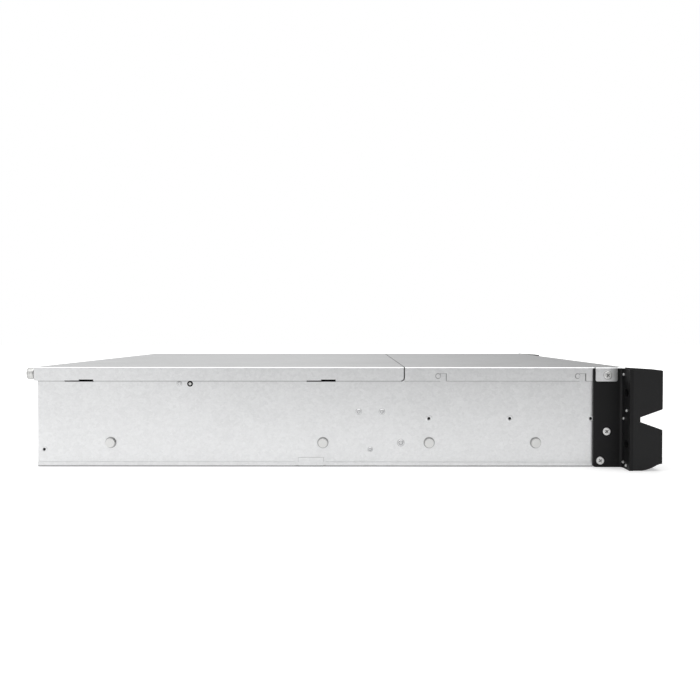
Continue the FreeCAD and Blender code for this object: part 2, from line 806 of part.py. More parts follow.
# ---------------------------------------------------------------- fans
def fan_centres():
    return [(step - (fan_count - 1) / 2) * fan_pitch for step in range(fan_count)]


def fan_bracket():
    """Wall with a round window for each fan and a flange riveted to each side wall."""
    reach = wall_in - slide_gap
    wall = box(-reach, reach, fan_bracket_front, fan_bracket_front + wall_sheet, pan_sheet, inside_top)
    for x in fan_centres():
        ends = [(x, y, fan_centre_z) for y in (fan_bracket_front - 1, fan_front + 1)]
        wall = wall.cut(peg(fan_bore, *ends, 28))
    flange = box(-reach, -reach + wall_sheet, fan_bracket_front, fan_bracket_front + fan_flange,
                 fan_flange_low, fan_flange_top)
    return fused(wall, flange, mirrored(flange))


def fan_frame(x):
    """Square fan frame with four struts carrying the motor boss at its rear."""
    z, outside = fan_centre_z, fan_size / 2
    frame = box(x - outside, x + outside, fan_front, fan_rear, z - outside, z + outside)
    frame = frame.cut(peg(fan_bore, (x, fan_front - 1, z), (x, fan_rear + 1, z), 28))
    boss = peg(fan_hub, (x, fan_rear - fan_motor, z), (x, fan_rear, z), 16)
    strut = box(x - outside + 1, x + outside - 1, fan_rear - fan_strut, fan_rear,
                z - fan_strut / 2, z + fan_strut / 2)
    crossed = strut.copy()
    crossed.rotate(vec(x, 0, z), vec(0, 1, 0), 90)
    shaft_way = peg(fan_shaft + pivot_gap, (x, fan_rear - fan_motor - 1, z), (x, fan_rear + 1, z))
    return fused(frame, boss, strut, crossed).cut(shaft_way)


def fan_blade(x):
    """Pitched blade whose tip corners reach the tip circle."""
    y, z = fan_front + fan_depth / 2 - 1, fan_centre_z
    swing = blade_chord / 2 * math.sin(math.radians(blade_angle)) + blade_sheet
    tip = math.sqrt((fan_bore - fan_tip_gap) ** 2 - swing ** 2)
    blade = box(x - blade_sheet / 2, x + blade_sheet / 2, y - blade_chord / 2, y + blade_chord / 2,
                z + fan_hub - 5, z + tip)
    blade.rotate(vec(x, y, z), vec(0, 0, 1), blade_angle)
    return blade


def fan_rotor(x):
    """Hub with pitched blades and the shaft that runs in the frame's boss."""
    z = fan_centre_z
    hub = peg(fan_hub, (x, fan_front + fan_inset, z), (x, fan_rear - fan_motor - run_gap, z), 16)
    shaft = peg(fan_shaft, (x, fan_rear - fan_motor - 1, z), (x, fan_rear - 1, z))
    blade = fan_blade(x)
    blades = []
    for step in range(fan_blades):
        turned = blade.copy()
        turned.rotate(vec(x, 0, z), vec(0, 1, 0), 360 * step / fan_blades)
        blades.append(turned)
    return fused(hub, shaft, *blades)


# ---------------------------------------------------------------- boards and ports
def chip_places():
    """Middles of the two chips."""
    y = board_rear - board_length + chip_behind
    return ((board_left + chip_insets[0], y), (board_right - chip_insets[1], y))


def expander_board():
    """Main board on the pan's standoffs, with two chips and a row of internal sockets."""
    front = board_rear - board_length
    reach = chip_side / 2
    board = box(board_left, board_right, front, board_rear, pan_sheet + board_rise, board_top)
    chips = [box(x - reach, x + reach, y - reach, y + reach, board_top, board_top + chip_height)
             for x, y in chip_places()]
    headers = [box(board_left + inset - header_width / 2, board_left + inset + header_width / 2,
                   front + header_inset, front + header_inset + header_depth,
                   board_top, board_top + header_height)
               for inset in header_places]
    return [board] + chips + headers


def heatsinks():
    """Finned heat sinks on the two chips."""
    sinks = []
    low = board_top + chip_height
    reach = sink_side / 2
    fin_pitch = (sink_side - sink_fin) / (sink_fins - 1)
    for x, y in chip_places():
        base = box(x - reach, x + reach, y - reach, y + reach, low, low + sink_base)
        fins = [box(left, left + sink_fin, y - reach, y + reach, low + sink_base - 1, low + sink_height)
                for left in (x - reach + step * fin_pitch for step in range(sink_fins))]
        sinks.append(fused(base, *fins))
    return sinks


def sas_ports():
    """Metal port cages at the board's rear edge, each with one socket."""
    ports = []
    rear = body_rear + port_proud
    for x in port_centres:
        cage = box(x - port_width / 2, x + port_width / 2, rear - port_length, rear,
                   board_top, board_top + port_height)
        centre = board_top + port_height / 2
        socket = box(x - port_socket_width / 2, x + port_socket_width / 2, rear - port_socket_depth, rear + 1,
                     centre - port_socket_height / 2, centre + port_socket_height / 2)
        ports.append(cage.cut(socket))
    return ports


# ---------------------------------------------------------------- power supplies
def psu_floors():
    """Undersides of the lower and the upper supply."""
    lower = pan_sheet + run_gap
    return (lower, lower + psu_height + 2 * run_gap + cage_sheet)


def psu_bay():
    """Sheet walls beside the supplies and the shelf between them."""
    front, rear = psu_front - bay_behind, rear_panel_front - slide_gap
    shelf_low = psu_floors()[1] - run_gap - cage_sheet
    walls = [box(x, x + cage_sheet, front, rear, pan_sheet, inside_top)
             for x in (psu_centre - bay_inner - cage_sheet, psu_centre + bay_inner)]
    shelf = box(psu_centre - bay_inner - cage_sheet / 2, psu_centre + bay_inner + cage_sheet / 2, front, rear,
                shelf_low, shelf_low + cage_sheet)
    return fused(walls[0], walls[1], shelf)


def power_board():
    """Upright board that the supplies plug into, with one slotted connector for each."""
    rear = psu_front - plug_gap - plug_depth
    solids = [box(psu_centre - bay_inner, psu_centre + bay_inner, rear - backplane_sheet, rear,
                  pan_sheet + backplane_inset, inside_top - backplane_inset)]
    slot = tongue_width / 2 + run_gap
    thick = tongue_height / 2 + run_gap
    reach = slot + plug_margin
    for low in psu_floors():
        z = low + tongue_centre
        block = box(psu_centre - reach, psu_centre + reach, rear, psu_front - plug_gap,
                    z - plug_height / 2, z + plug_height / 2)
        solids.append(block.cut(box(psu_centre - slot, psu_centre + slot,
                                    psu_front - plug_gap - plug_slot_depth, psu_front,
                                    z - thick, z + thick)))
    return solids


def psu(low):
    """Supply case with its plug tongue, inlet with three pins, vent slots and pull handle."""
    left, right = psu_centre - psu_width / 2, psu_centre + psu_width / 2
    mid_z = low + psu_height / 2
    inlet_x = left + inlet_inset
    handle_right = right - handle_inset
    handle_left = handle_right - handle_width
    case = box(left, right, psu_front, psu_rear, low, low + psu_height)
    cuts = [box(inlet_x - inlet_width / 2, inlet_x + inlet_width / 2, psu_rear - inlet_depth, psu_rear + 1,
                mid_z - inlet_height / 2, mid_z + inlet_height / 2)]
    for step in range(supply_vents):
        z = mid_z + (step - (supply_vents - 1) / 2) * supply_vent_pitch
        if abs(z - mid_z) > handle_sheet / 2 + supply_vent_height / 2:
            cuts.append(box(handle_left + handle_bar / 2, handle_right,
                            psu_rear - supply_vent_depth, psu_rear + 1,
                            z - supply_vent_height / 2, z + supply_vent_height / 2))
    groove = latch_height / 2 + latch_gap
    cuts.append(box(right - latch_pocket, right + 1, psu_rear - latch_length - 2, psu_rear + 1,
                    mid_z - groove, mid_z + groove))
    case = case.cut(Part.makeCompound(cuts))
    pins = [box(inlet_x + x - inlet_pin / 2, inlet_x + x + inlet_pin / 2, psu_rear - inlet_depth - 1,
                psu_rear - inlet_pin_stop, mid_z + z - inlet_pin_rise / 2, mid_z + z + inlet_pin_rise / 2)
            for x, z in inlet_pins]
    tongue_z = low + tongue_centre
    tongue = box(psu_centre - tongue_width / 2, psu_centre + tongue_width / 2,
                 psu_front - psu_tongue, psu_front + 1,
                 tongue_z - tongue_height / 2, tongue_z + tongue_height / 2)
    handle = box(handle_left, handle_right, psu_rear - 1, psu_rear + handle_reach,
                 mid_z - handle_sheet / 2, mid_z + handle_sheet / 2)
    handle = handle.cut(box(handle_left + handle_bar, handle_right - handle_bar, psu_rear,
                            psu_rear + handle_reach - handle_bar, mid_z - handle_sheet, mid_z + handle_sheet))
    handle = rounded(handle, handle_corner,
                     lambda mid, way: near(mid.y, psu_rear + handle_reach) and near(abs(way.z), 1))
    return fused(case, *pins, tongue, handle)


def psu_latch(low):
    """Release latch: a blade in the case's side groove with a thumb tab behind it."""
    right, mid_z = psu_centre + psu_width / 2 - slide_gap, low + psu_height / 2
    reach = latch_height / 2
    blade = box(right - latch_blade, right, psu_rear - latch_length, psu_rear + 2 * latch_blade,
                mid_z - reach, mid_z + reach)
    tab = box(right - latch_tab_width, right, psu_rear + latch_gap, psu_rear + latch_tab,
              mid_z - reach, mid_z + reach)
    tab = rounded(tab, latch_corner,
                  lambda mid, way: near(mid.y, psu_rear + latch_tab) and near(abs(way.z), 1))
    return fused(blade, tab)


# ---------------------------------------------------------------- nodes
def main():
    os.makedirs("parts", exist_ok=True)
    export("bottom_pan", [bottom_pan()])
    wall = left_side_wall()
    export("left_side_wall", [wall])
    export("right_side_wall", [mirrored(wall)])
    export("rear_panel", [rear_panel()])
    export("front_cover", [front_cover()])
    export("rear_cover", [rear_cover()])
    export("cross_member", [cross_member()])
    bracket = left_rack_bracket()
    export("left_rack_bracket", [bracket])
    export("right_rack_bracket", [mirrored(bracket)])
    ear, insert = left_ear_cover(), left_ear_insert()
    export("left_ear_cover", [ear.cut(id_button_hole())])
    export("right_ear_cover", [mirrored(ear)])
    export("left_ear_insert", [insert.cut(id_button_hole())])
    export("right_ear_insert", [mirrored(insert)])
    export("id_button", [id_button()])
    export("rail_studs", rail_studs())
    export("side_rivets", side_rivets())
    export("bracket_screws", bracket_screws())
    screw = left_thumb_screw()
    export("left_thumb_screw", [screw])
    export("right_thumb_screw", [mirrored(screw)])
    export("cage_walls", cage_walls())
    for number, x, z in tray_places():
        export("tray_%02d" % number, [tray_frame(x, z), disk(x, z)])
        export("lever_%02d" % number, [lever(x, z)])
    export("backplane", [backplane()])
    export("backplane_sockets", backplane_sockets())
    export("fan_bracket", [fan_bracket()])
    export("fan_frames", [fan_frame(x) for x in fan_centres()])
    for number, x in enumerate(fan_centres(), 1):
        export("fan_rotor_%d" % number, [fan_rotor(x)])
    export("expander_board", expander_board())
    export("heatsinks", heatsinks())
    export("sas_ports", sas_ports())
    export("psu_bay", [psu_bay()])
    export("power_board", power_board())
    for number, low in enumerate(psu_floors(), 1):
        export("psu_%d" % number, [psu(low)])
        export("psu_%d_latch" % number, [psu_latch(low)])


main()
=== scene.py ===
# %% [markdown]
# # Disk shelf enclosure
# This scene dresses a rack-mount disk shelf: a galvanised sheet-steel chassis with black rack ears,
# twelve disk trays in front, and fans, boards and power supplies behind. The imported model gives
# every piece its size and place in metres, so the scene starts by loading it and notes its box.

# %% Load the frame
import bpy
import json
import math
from mathutils import Matrix, Vector

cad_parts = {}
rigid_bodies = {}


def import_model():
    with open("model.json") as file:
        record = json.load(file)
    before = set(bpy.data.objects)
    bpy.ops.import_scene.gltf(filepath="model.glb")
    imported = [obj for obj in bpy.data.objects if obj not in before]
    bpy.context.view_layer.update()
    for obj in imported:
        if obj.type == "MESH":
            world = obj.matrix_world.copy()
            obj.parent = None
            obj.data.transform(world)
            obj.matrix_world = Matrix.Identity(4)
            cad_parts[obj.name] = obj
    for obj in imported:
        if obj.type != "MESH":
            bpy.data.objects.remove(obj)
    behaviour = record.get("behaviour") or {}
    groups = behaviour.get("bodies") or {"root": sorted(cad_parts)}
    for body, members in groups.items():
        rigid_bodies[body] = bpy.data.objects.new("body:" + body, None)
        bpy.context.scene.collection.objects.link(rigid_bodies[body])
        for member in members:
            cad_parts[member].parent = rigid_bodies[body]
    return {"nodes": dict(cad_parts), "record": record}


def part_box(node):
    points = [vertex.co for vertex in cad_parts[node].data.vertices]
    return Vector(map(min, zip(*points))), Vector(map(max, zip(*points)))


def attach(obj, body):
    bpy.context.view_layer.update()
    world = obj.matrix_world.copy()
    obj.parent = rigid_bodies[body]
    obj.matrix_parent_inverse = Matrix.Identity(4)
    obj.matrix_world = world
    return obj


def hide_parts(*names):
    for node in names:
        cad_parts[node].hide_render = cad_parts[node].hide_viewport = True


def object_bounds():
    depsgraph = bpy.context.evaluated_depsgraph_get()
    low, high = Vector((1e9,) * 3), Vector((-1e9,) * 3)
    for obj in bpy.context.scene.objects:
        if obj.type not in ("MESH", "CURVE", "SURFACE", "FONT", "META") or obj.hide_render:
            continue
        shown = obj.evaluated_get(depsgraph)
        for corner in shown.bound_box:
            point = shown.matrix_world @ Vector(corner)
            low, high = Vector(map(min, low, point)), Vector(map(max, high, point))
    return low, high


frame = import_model()
nodes = frame["nodes"]
cad_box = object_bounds()
MM = 0.001
print("pieces in the frame:", len(nodes), "box:", cad_box)

# %% [markdown]
# ## Camera
# The shelf is seen square on to its left side from just above its top, so the side is nearly a
# plain rectangle and the top a thin wedge. A camera is an object whose lens sets how strongly
# things shrink with distance. It looks along its own minus Z, so a view along +X needs a turn of
# 90 degrees about X and then minus 90 about Z.

# %% The camera
LOOK_DOWN, LOOK_ASIDE = 1.296, 0.259
camera = bpy.data.cameras.new("camera")
camera.lens = 41.55
camera.sensor_width = 36.0
camera.clip_start = 0.01
viewer = bpy.data.objects.new("camera", camera)
bpy.context.scene.collection.objects.link(viewer)
viewer.location = (-0.9315, 0.2361, 0.1192)
viewer.rotation_euler = (math.radians(90 - LOOK_DOWN), 0, math.radians(LOOK_ASIDE - 90))
bpy.context.scene.camera = viewer
print("camera stands", round(cad_box[0][0] - viewer.location.x, 3), "m out from the ears' side")

# %% [markdown]
# ## Shader maths
# Node materials get long when every link is written out. A small class wraps a socket, so that
# sums and products of masks read as plain arithmetic, and one method adds any other node.

# %% A wrapped socket and a material builder
class Wire:
    """A node socket that can be used in arithmetic."""

    def __init__(self, maker, socket):
        self.maker, self.socket = maker, socket

    def math(self, operation, *values):
        return self.maker.node("ShaderNodeMath", {"operation": operation}, dict(enumerate(values)))

    def or_more(self, other):
        return self.math("MAXIMUM", self, other)

    def __add__(self, other): return self.math("ADD", self, other)
    def __radd__(self, other): return self.math("ADD", other, self)
    def __sub__(self, other): return self.math("SUBTRACT", self, other)
    def __rsub__(self, other): return self.math("SUBTRACT", other, self)
    def __mul__(self, other): return self.math("MULTIPLY", self, other)
    def __rmul__(self, other): return self.math("MULTIPLY", other, self)
    def __abs__(self): return self.math("ABSOLUTE", self)


class Finish:
    """A material with one Principled shader, and ways to add nodes to it."""

    def __init__(self, name, **sockets):
        self.material = bpy.data.materials.new(name)
        self.material.use_nodes = True
        self.tree = self.material.node_tree
        self.shader = self.tree.nodes["Principled BSDF"]
        self.set(**sockets)

    def set(self, **sockets):
        """Sets or links shader sockets; Base_Color stands for Base Color."""
        for name, value in sockets.items():
            self.put(self.shader.inputs[name.replace("_", " ")], value)

    def put(self, socket, value):
        """Links a wire to a socket, or sets the socket to a value."""
        if isinstance(value, Wire):
            self.tree.links.new(value.socket, socket)
        elif isinstance(value, tuple) and len(value) == 3 and socket.type == "RGBA":
            socket.default_value = (*value, 1)
        else:
            socket.default_value = value

    def node(self, kind, settings=None, values=None, output=0):
        """Adds a node with its settings and socket values, and gives one of its outputs."""
        made = self.tree.nodes.new(kind)
        for name, value in (settings or {}).items():
            setattr(made, name, value)
        for name, value in (values or {}).items():
            self.put(made.inputs[name], value)
        return Wire(self, made.outputs[output])

    def place(self, stretch=(1, 1, 1)):
        """Object coordinates, stretched."""
        coordinates = self.node("ShaderNodeTexCoord", output="Object")
        return self.node("ShaderNodeMapping", values={"Vector": coordinates, "Scale": stretch})

    def axes(self, vector):
        """The three parts of a vector."""
        first = self.node("ShaderNodeSeparateXYZ", values={0: vector})
        return [Wire(self, socket) for socket in first.socket.node.outputs]

    def noise(self, scale, detail, stretch=(1, 1, 1)):
        return self.node("ShaderNodeTexNoise", values={
            "Vector": self.place(stretch), "Scale": scale, "Detail": detail, "Roughness": 0.55})

    def crystals(self, scale):
        """One grey for each cell."""
        colour = self.node("ShaderNodeTexVoronoi", values={"Vector": self.place(), "Scale": scale},
                           output="Color")
        return self.node("ShaderNodeRGBToBW", values={0: colour})

    def spread(self, value, low, high, to_low, to_high):
        """Maps a value's range onto another, clamped."""
        return self.node("ShaderNodeMapRange", {"clamp": True},
                         {0: value, 1: low, 2: high, 3: to_low, 4: to_high})

    def mix(self, share, first, second):
        """Mixes two colours, on the Mix node's colour sockets."""
        made = self.tree.nodes.new("ShaderNodeMix")
        made.data_type = "RGBA"
        self.put(made.inputs[0], share)
        self.put(made.inputs[6], first)
        self.put(made.inputs[7], second)
        return Wire(self, made.outputs[2])

    def bump(self, height, strength, distance):
        return self.node("ShaderNodeBump", values={
            "Strength": strength, "Distance": distance, "Height": height})


def scaled(colour, factor):
    """A colour made darker or lighter."""
    return tuple(min(1.0, channel * factor) for channel in colour)


print("shader maths ready")

# %% [markdown]
# ## Places on the side walls
# The walls carry studs, pins, rivets, tapped holes and slots. Later cells set screws, heads and
# collars there, and the sheet's own finish is darker round them, so each place is written once,
# here. A place is a depth y and a height z in millimetres.

# %% Places on the side walls
PLATE_SIDE, TAB_SIDE, WALL_SIDE = 221.4, 222.5, 218.4  # how far out each piece's face is
WALL_FRONT, WALL_REAR, TOP = 25.4, 515.7, 88.0
SEAM, HEM, CORNER = 191.4, 75.8, 2.5  # seam of the covers, their lower edge, its rounded corner
STUDS = [(y, 21.1) for y in (75.3, 169.3, 263.3, 451.3)]
PINS = [(y, 80.1) for y in (38.7, 161.6)]
TAB_SCREW, SMALL_SCREW = (13.1, 81.0), (380.8, 73.2)
# for each rivet, the last two numbers are its radius and how dark the painted shade rings round it
# are
RIVETS = ((231.7, 48.6, 2.5, 0.5), (211.1, 48.6, 2.5, 0.5), (194.4, 21.0, 2.9, 0.75),
          (221.5, 15.2, 2.1, 0.5), (390.3, 73.4, 2.2, 0.5))  # the last two: radius and darkness
TAPPED_HOLES = ((26.8, 42.6), (98.2, 42.6), (169.6, 42.6), (510.4, 15.0))
HOOK_SLOTS, SLOT_LENGTH = (252.0, 466.2), 25.6
print("places:", len(STUDS), "studs,", len(PINS), "pins,", len(RIVETS), "rivets")

# %% [markdown]
# ## Painted shade in the joints
# Shiny sheet hides its own joints, so the shade that falls in them is painted into its finish:
# thin dark lines along the gaps, under the covers' lower edges and along the bottom, rings round
# studs, rivets and pins, and a darkening towards the front of the cover's tab. All of it is
# painted shade. A ring is all that lies at one distance from its middle, and a line is a narrow
# range of depth and height.

# %% Where shade is painted
# painted shade rings round the studs, the pins, the tab's screw and the rivets
RINGS = [(*place, 4.5, 0.8, 0.5) for place in STUDS]  # y, z, radius, width, darkness
RINGS += [(*place, 2.2, 0.4, 0.5) for place in PINS] + [(*TAB_SCREW, 3.65, 0.45, 0.45)]
RINGS += [(y, z, radius * size, 0.45, dark * amount) for y, z, radius, dark in RIVETS
          for size, amount in ((0.6, 0.8), (1.04, 0.5))]
# painted shade lines: in the seam, under the covers' lower edges, at the lip's tab, along the
# bottom, round the bayonet slots and in the hook slots
LINES = [  # front, rear, bottom, top, darkness
    (SEAM - 0.45, SEAM + 0.45, HEM + CORNER, TOP - 0.1, 0.99),  # seam, down the side
    (SEAM - 0.5, SEAM + 0.5, TOP - 0.2, TOP + 0.2, 0.55),  # seam, across the top
    (SEAM + CORNER, WALL_REAR, HEM - 0.55, HEM, 0.45),  # under the rear cover
    (159.7, SEAM - 0.2, HEM - 0.5, HEM, 0.35),  # under the front cover, between its slots
    (36.8, 154.3, HEM - 0.5, HEM, 0.35), (WALL_FRONT, 31.4, HEM - 0.5, HEM, 0.35),
    (262.5, 262.9, 3.8, 7.9, 0.25), (285.0, 285.4, 3.8, 7.9, 0.25),  # ends of the lip's tab
    (WALL_FRONT, WALL_REAR, -1.0, 1.0, 0.55)]  # along the bottom
for y, z in PINS:  # outline of each bayonet slot
    LINES += [(y - 7.5, y - 7.1, HEM, z + 2.3, 0.5), (y - 2.15, y - 1.75, z + 1.2, z + 2.4, 0.5),
              (y - 7.4, y - 1.8, z + 2.1, z + 2.4, 0.45)]
LINES += [(y, y + SLOT_LENGTH, HEM - 0.75, HEM + 0.1, 0.98) for y in HOOK_SLOTS]
print("shade in", len(RINGS), "rings and", len(LINES), "lines")

# %% Painted shade as shader maths
def painted_joint_shade(finish):
    """How much painted shade falls at a place, in the joints, round pressed rings and on the tab, 0
    to 1.
    """
    in_mm = finish.place((1000, 1000, 1000))
    x, y, z = finish.axes(in_mm)
    flat = finish.node("ShaderNodeCombineXYZ", values={1: y, 2: z})

    def ring(middle_y, middle_z, radius, width, dark):
        away = finish.node("ShaderNodeVectorMath", {"operation": "DISTANCE"},
                           {0: flat, 1: (0, middle_y, middle_z)}, output="Value")
        return finish.spread(abs(away - radius), width / 2, width / 2 + 0.15, dark, 0.0)

    def within(value, low, high):
        half = (high - low) / 2
        return finish.spread(abs(value - (low + high) / 2), half, half + 0.1, 1.0, 0.0)

    shade = ring(*RINGS[0])
    for each in RINGS[1:]:
        shade = shade.or_more(ring(*each))
    for front, rear, bottom, top, dark in LINES:
        shade = shade.or_more(within(y, front, rear) * within(z, bottom, top) * dark)
    # painted shade in the rounded corner where the seam meets the covers' lower edge
    corner_y, corner_z = SEAM + 0.2 + CORNER, HEM + CORNER
    corner = ring(corner_y, corner_z, CORNER + 0.1, 0.8, 0.98)
    shade = shade.or_more(corner * within(y, SEAM - 2, corner_y) * within(z, HEM - 2, corner_z))
    # painted shade on the cover's tab, darker towards its front
    on_tab = finish.spread(abs(x), TAB_SIDE - 1.0, TAB_SIDE - 0.7, 0.0, 1.0)
    return shade.or_more(on_tab * finish.spread(y, 5.0, 13.0, 0.55, 0.0))


print("shade ready")

# %% [markdown]
# ## Galvanised sheet
# Zinc freezes on steel as flat crystals, the spangle. On this thin sheet they are two or three
# millimetres across and very faint: each one shines a little more or less than its neighbours,
# with fine grain from the rolling over them. A Voronoi texture gives one grey per crystal,
# and that grey nudges the colour and the roughness. Faces that point to the front, the back or
# downwards can be painted nearly black: on cut and punched edges that is partly the darker bare
# steel and partly painted shade, and on undersides it is painted shade. Those faces are told by
# the way they point.

# %% Galvanised steel
ZINC_TONE = (0.81, 0.815, 0.82)


def galvanised(name, dark_edges_and_undersides=False, joint_shade_painted=False):
    """Zinc-coated sheet with faint spangle, mottling, rolling grain and, where asked, painted
    shade.
    """
    finish = Finish(name, Metallic=0.8)
    spangle = finish.crystals(380.0) * 0.25 + finish.crystals(900.0) * 0.15
    patches = finish.noise(16.0, 4.0) * 0.4
    grain = finish.noise(700.0, 2.0, stretch=(1, 0.5, 1)) * 0.2
    shade = spangle + patches + grain
    colour = finish.mix(finish.spread(shade, 0.3, 0.7, 0.0, 1.0),
                        scaled(ZINC_TONE, 0.92), scaled(ZINC_TONE, 1.06))
    # faces that point front, back or down are painted nearly black: bare steel on cut edges in
    # part, painted shade on edges and undersides
    if dark_edges_and_undersides:
        across, _, upward = finish.axes(finish.node("ShaderNodeTexCoord", output="Normal"))
        face = abs(across).or_more(upward)
        edge_or_underside = finish.spread(face, 0.2, 0.4, 1.0, 0.0)
        colour = finish.mix(edge_or_underside, colour, scaled(ZINC_TONE, 0.12))
    # painted shade in the joints, round the pressed rings and on the tab's front
    if joint_shade_painted:
        colour = finish.mix(painted_joint_shade(finish), colour, scaled(ZINC_TONE, 0.02))
    finish.set(Base_Color=colour, Roughness=finish.spread(shade, 0.2, 0.8, 0.285, 0.35))
    return finish.material


steel = galvanised("galvanised_steel")
pan_steel = galvanised("galvanised_pan_painted_shade", joint_shade_painted=True)
steel_with_painted_joints = galvanised("galvanised_steel_with_cut_edges", dark_edges_and_undersides=True, joint_shade_painted=True)
print("made", steel.name, "with", pan_steel.name, "and", steel_with_painted_joints.name)

# %% [markdown]
# ## Paint and plastics
# The rack brackets are powder coated, which leaves a fine orange-peel bump under a satin shine.
# The ears and levers are moulded with a spark-eroded grain, finer and duller. Both are nearly
# black, so the bump and the roughness carry the finish and the colour hardly changes.

# %% Powder coat and moulded plastic
def coated(name, colour, rough, peel, scale, shine=0.5):
    """A paint or moulded plastic: one colour with a small cloud in it, and a fine bump."""
    finish = Finish(name, Specular_IOR_Level=shine)
    cloud = finish.noise(35.0, 3.0)
    skin = finish.noise(scale, 2.0)
    finish.set(Base_Color=finish.mix(cloud, scaled(colour, 0.88), scaled(colour, 1.12)))
    finish.set(Roughness=finish.spread(cloud, 0.3, 0.7, rough - 0.04, rough + 0.05))
    finish.set(Normal=finish.bump(skin, peel, 0.0002))
    return finish.material


black_coat = coated("black_powder_coat", (0.0085, 0.0085, 0.009), 0.45, 0.25, 900.0, 0.2)
black_moulding = coated("black_moulding", (0.0155, 0.0155, 0.016), 0.52, 0.30, 1800.0, 0.22)
bezel_moulding = coated("bezel_moulding", (0.02, 0.02, 0.021), 0.45, 0.25, 1500.0, 0.35)
charcoal_moulding = coated("charcoal_moulding", (0.055, 0.057, 0.06), 0.45, 0.25, 1600.0)
blue_moulding = coated("touch_point_blue", (0.05, 0.17, 0.36), 0.45, 0.2, 1600.0)
socket_plastic = coated("socket_plastic", (0.015, 0.015, 0.016), 0.5, 0.15, 1500.0, 0.35)
fan_plastic = coated("fan_plastic", (0.02, 0.02, 0.021), 0.4, 0.15, 1500.0)
solder_mask = coated("solder_mask_green", (0.012, 0.085, 0.03), 0.35, 0.1, 300.0)
# this dull black is no foam of the shelf: it stands for the shade in the gap round the sunk screws
# and behind the hook slots, as painted shade, though the print below counts it with the foams
black_foam = coated("black_foam", (0.006, 0.006, 0.006), 0.9, 0.4, 2500.0, 0.05)
print("made nine paints, plastics and foams")

# %% [markdown]
# ## Bare metals
# Screws and studs are zinc plated and bright, the disk cases are cast aluminium and the supplies'
# cases are plain rolled sheet. One helper makes them all: the grain's stretch says which way the
# metal was worked.

# %% Bare metals
def bare_metal(name, colour, rough, grain_scale, stretch=(1, 1, 1), strength=0.15):
    """An unpainted metal: a faint cloud in its colour, and a grain in its roughness and bump."""
    finish = Finish(name, Metallic=1.0)
    grain = finish.noise(grain_scale, 3.0, stretch=stretch)
    cloud = finish.noise(40.0, 2.0)
    finish.set(Base_Color=finish.mix(cloud, scaled(colour, 0.85), colour))
    finish.set(Roughness=finish.spread(grain, 0.3, 0.7, rough - 0.08, rough + 0.1))
    finish.set(Normal=finish.bump(grain, strength, 0.0001))
    return finish.material


bright_zinc = bare_metal("bright_zinc", (0.80, 0.80, 0.79), 0.37, 700.0)
cast_alloy = bare_metal("cast_aluminium", (0.60, 0.60, 0.61), 0.5, 1200.0, strength=0.3)
case_sheet = bare_metal("rolled_case_sheet", (0.66, 0.66, 0.67), 0.38, 500.0, stretch=(1, 0.08, 1))
sink_metal = bare_metal("extruded_aluminium", (0.72, 0.72, 0.73), 0.35, 600.0, stretch=(1, 0.05, 1))
# a darker copy of the zinc, used in the screws' cross recesses as painted shade
shaded_zinc = bare_metal("shaded_zinc", (0.3, 0.3, 0.3), 0.5, 700.0)
print("made five bare metals")

# %% [markdown]
# ## Light windows
# The status lights are small domes of tinted clear plastic over diodes that are off here. So each
# is a colour under a clear coat, and a small cloud keeps it from looking like flat paint.

# %% Tinted lenses
def tinted(name, colour):
    """A tinted plastic under a clear coat."""
    finish = Finish(name, Coat_Weight=0.8, Coat_Roughness=0.08)
    cloud = finish.noise(260.0, 2.0)
    finish.set(Base_Color=finish.mix(cloud, scaled(colour, 0.7), scaled(colour, 1.25)))
    finish.set(Roughness=finish.spread(cloud, 0.3, 0.7, 0.15, 0.25))
    return finish.material


green_lens = tinted("green_lens", (0.10, 0.32, 0.12))
amber_lens = tinted("amber_lens", (0.42, 0.22, 0.05))
print("made two lenses")

# %% [markdown]
# ## Finishes on the frame's pieces
# Each piece that the frame already shapes well only needs its material. The record's slot names
# say what it is made of, so one table from slot to finish dresses nearly all. The covers, the
# side walls and the pan get the sheet with painted shade in its joints, so they are looked up by
# name first.

# %% Dress the frame's pieces
finish_of_slot = {
    "galvanised_steel": steel, "black_steel": black_coat, "black_plastic": black_moulding,
    "dark_plastic": charcoal_moulding, "tray_metal": cast_alloy, "bright_screw": bright_zinc,
    "circuit_board": solder_mask, "socket_plastic": socket_plastic, "heatsink": sink_metal,
    "port_metal": bright_zinc, "psu_case": case_sheet, "latch_plastic": blue_moulding,
    "fan_plastic": fan_plastic,
}
finish_of_node = {"front_cover": steel_with_painted_joints, "rear_cover": steel_with_painted_joints, "left_side_wall": steel_with_painted_joints,
                  "right_side_wall": steel_with_painted_joints, "bottom_pan": pan_steel}
for entry in frame["record"]["subparts"]:
    finish = finish_of_node.get(entry["node"], finish_of_slot[entry["material_slot"]])
    mesh = nodes[entry["node"]].data
    mesh.materials.clear()
    mesh.materials.append(finish)

# %% [markdown]
# ## Modelling by hand, in code
# The finer pieces are made as one would by hand: add a primitive, pick some of its faces, extrude,
# inset or bevel them, then join or cut. These helpers pick faces by their middle and the way they
# point, and leave every finished piece at the origin with its place in its mesh.

# %% Selecting, adding and picking
def clear_selection():
    """Leaves edit mode and deselects everything."""
    if bpy.context.object and bpy.context.object.mode != "OBJECT":
        bpy.ops.object.mode_set(mode="OBJECT")
    bpy.ops.object.select_all(action="DESELECT")


def hold(piece, *others):
    """Selects only these pieces, with the first one active."""
    clear_selection()
    for each in (piece, *others):
        each.select_set(True)
    bpy.context.view_layer.objects.active = piece


def primitive(kind, name, **settings):
    """Adds a primitive, with its place and turn baked into its mesh."""
    clear_selection()
    getattr(bpy.ops.mesh, f"primitive_{kind}_add")(**settings)
    piece = bpy.context.object
    piece.name = piece.data.name = name
    bpy.ops.object.transform_apply(location=True, rotation=True, scale=True)
    return piece


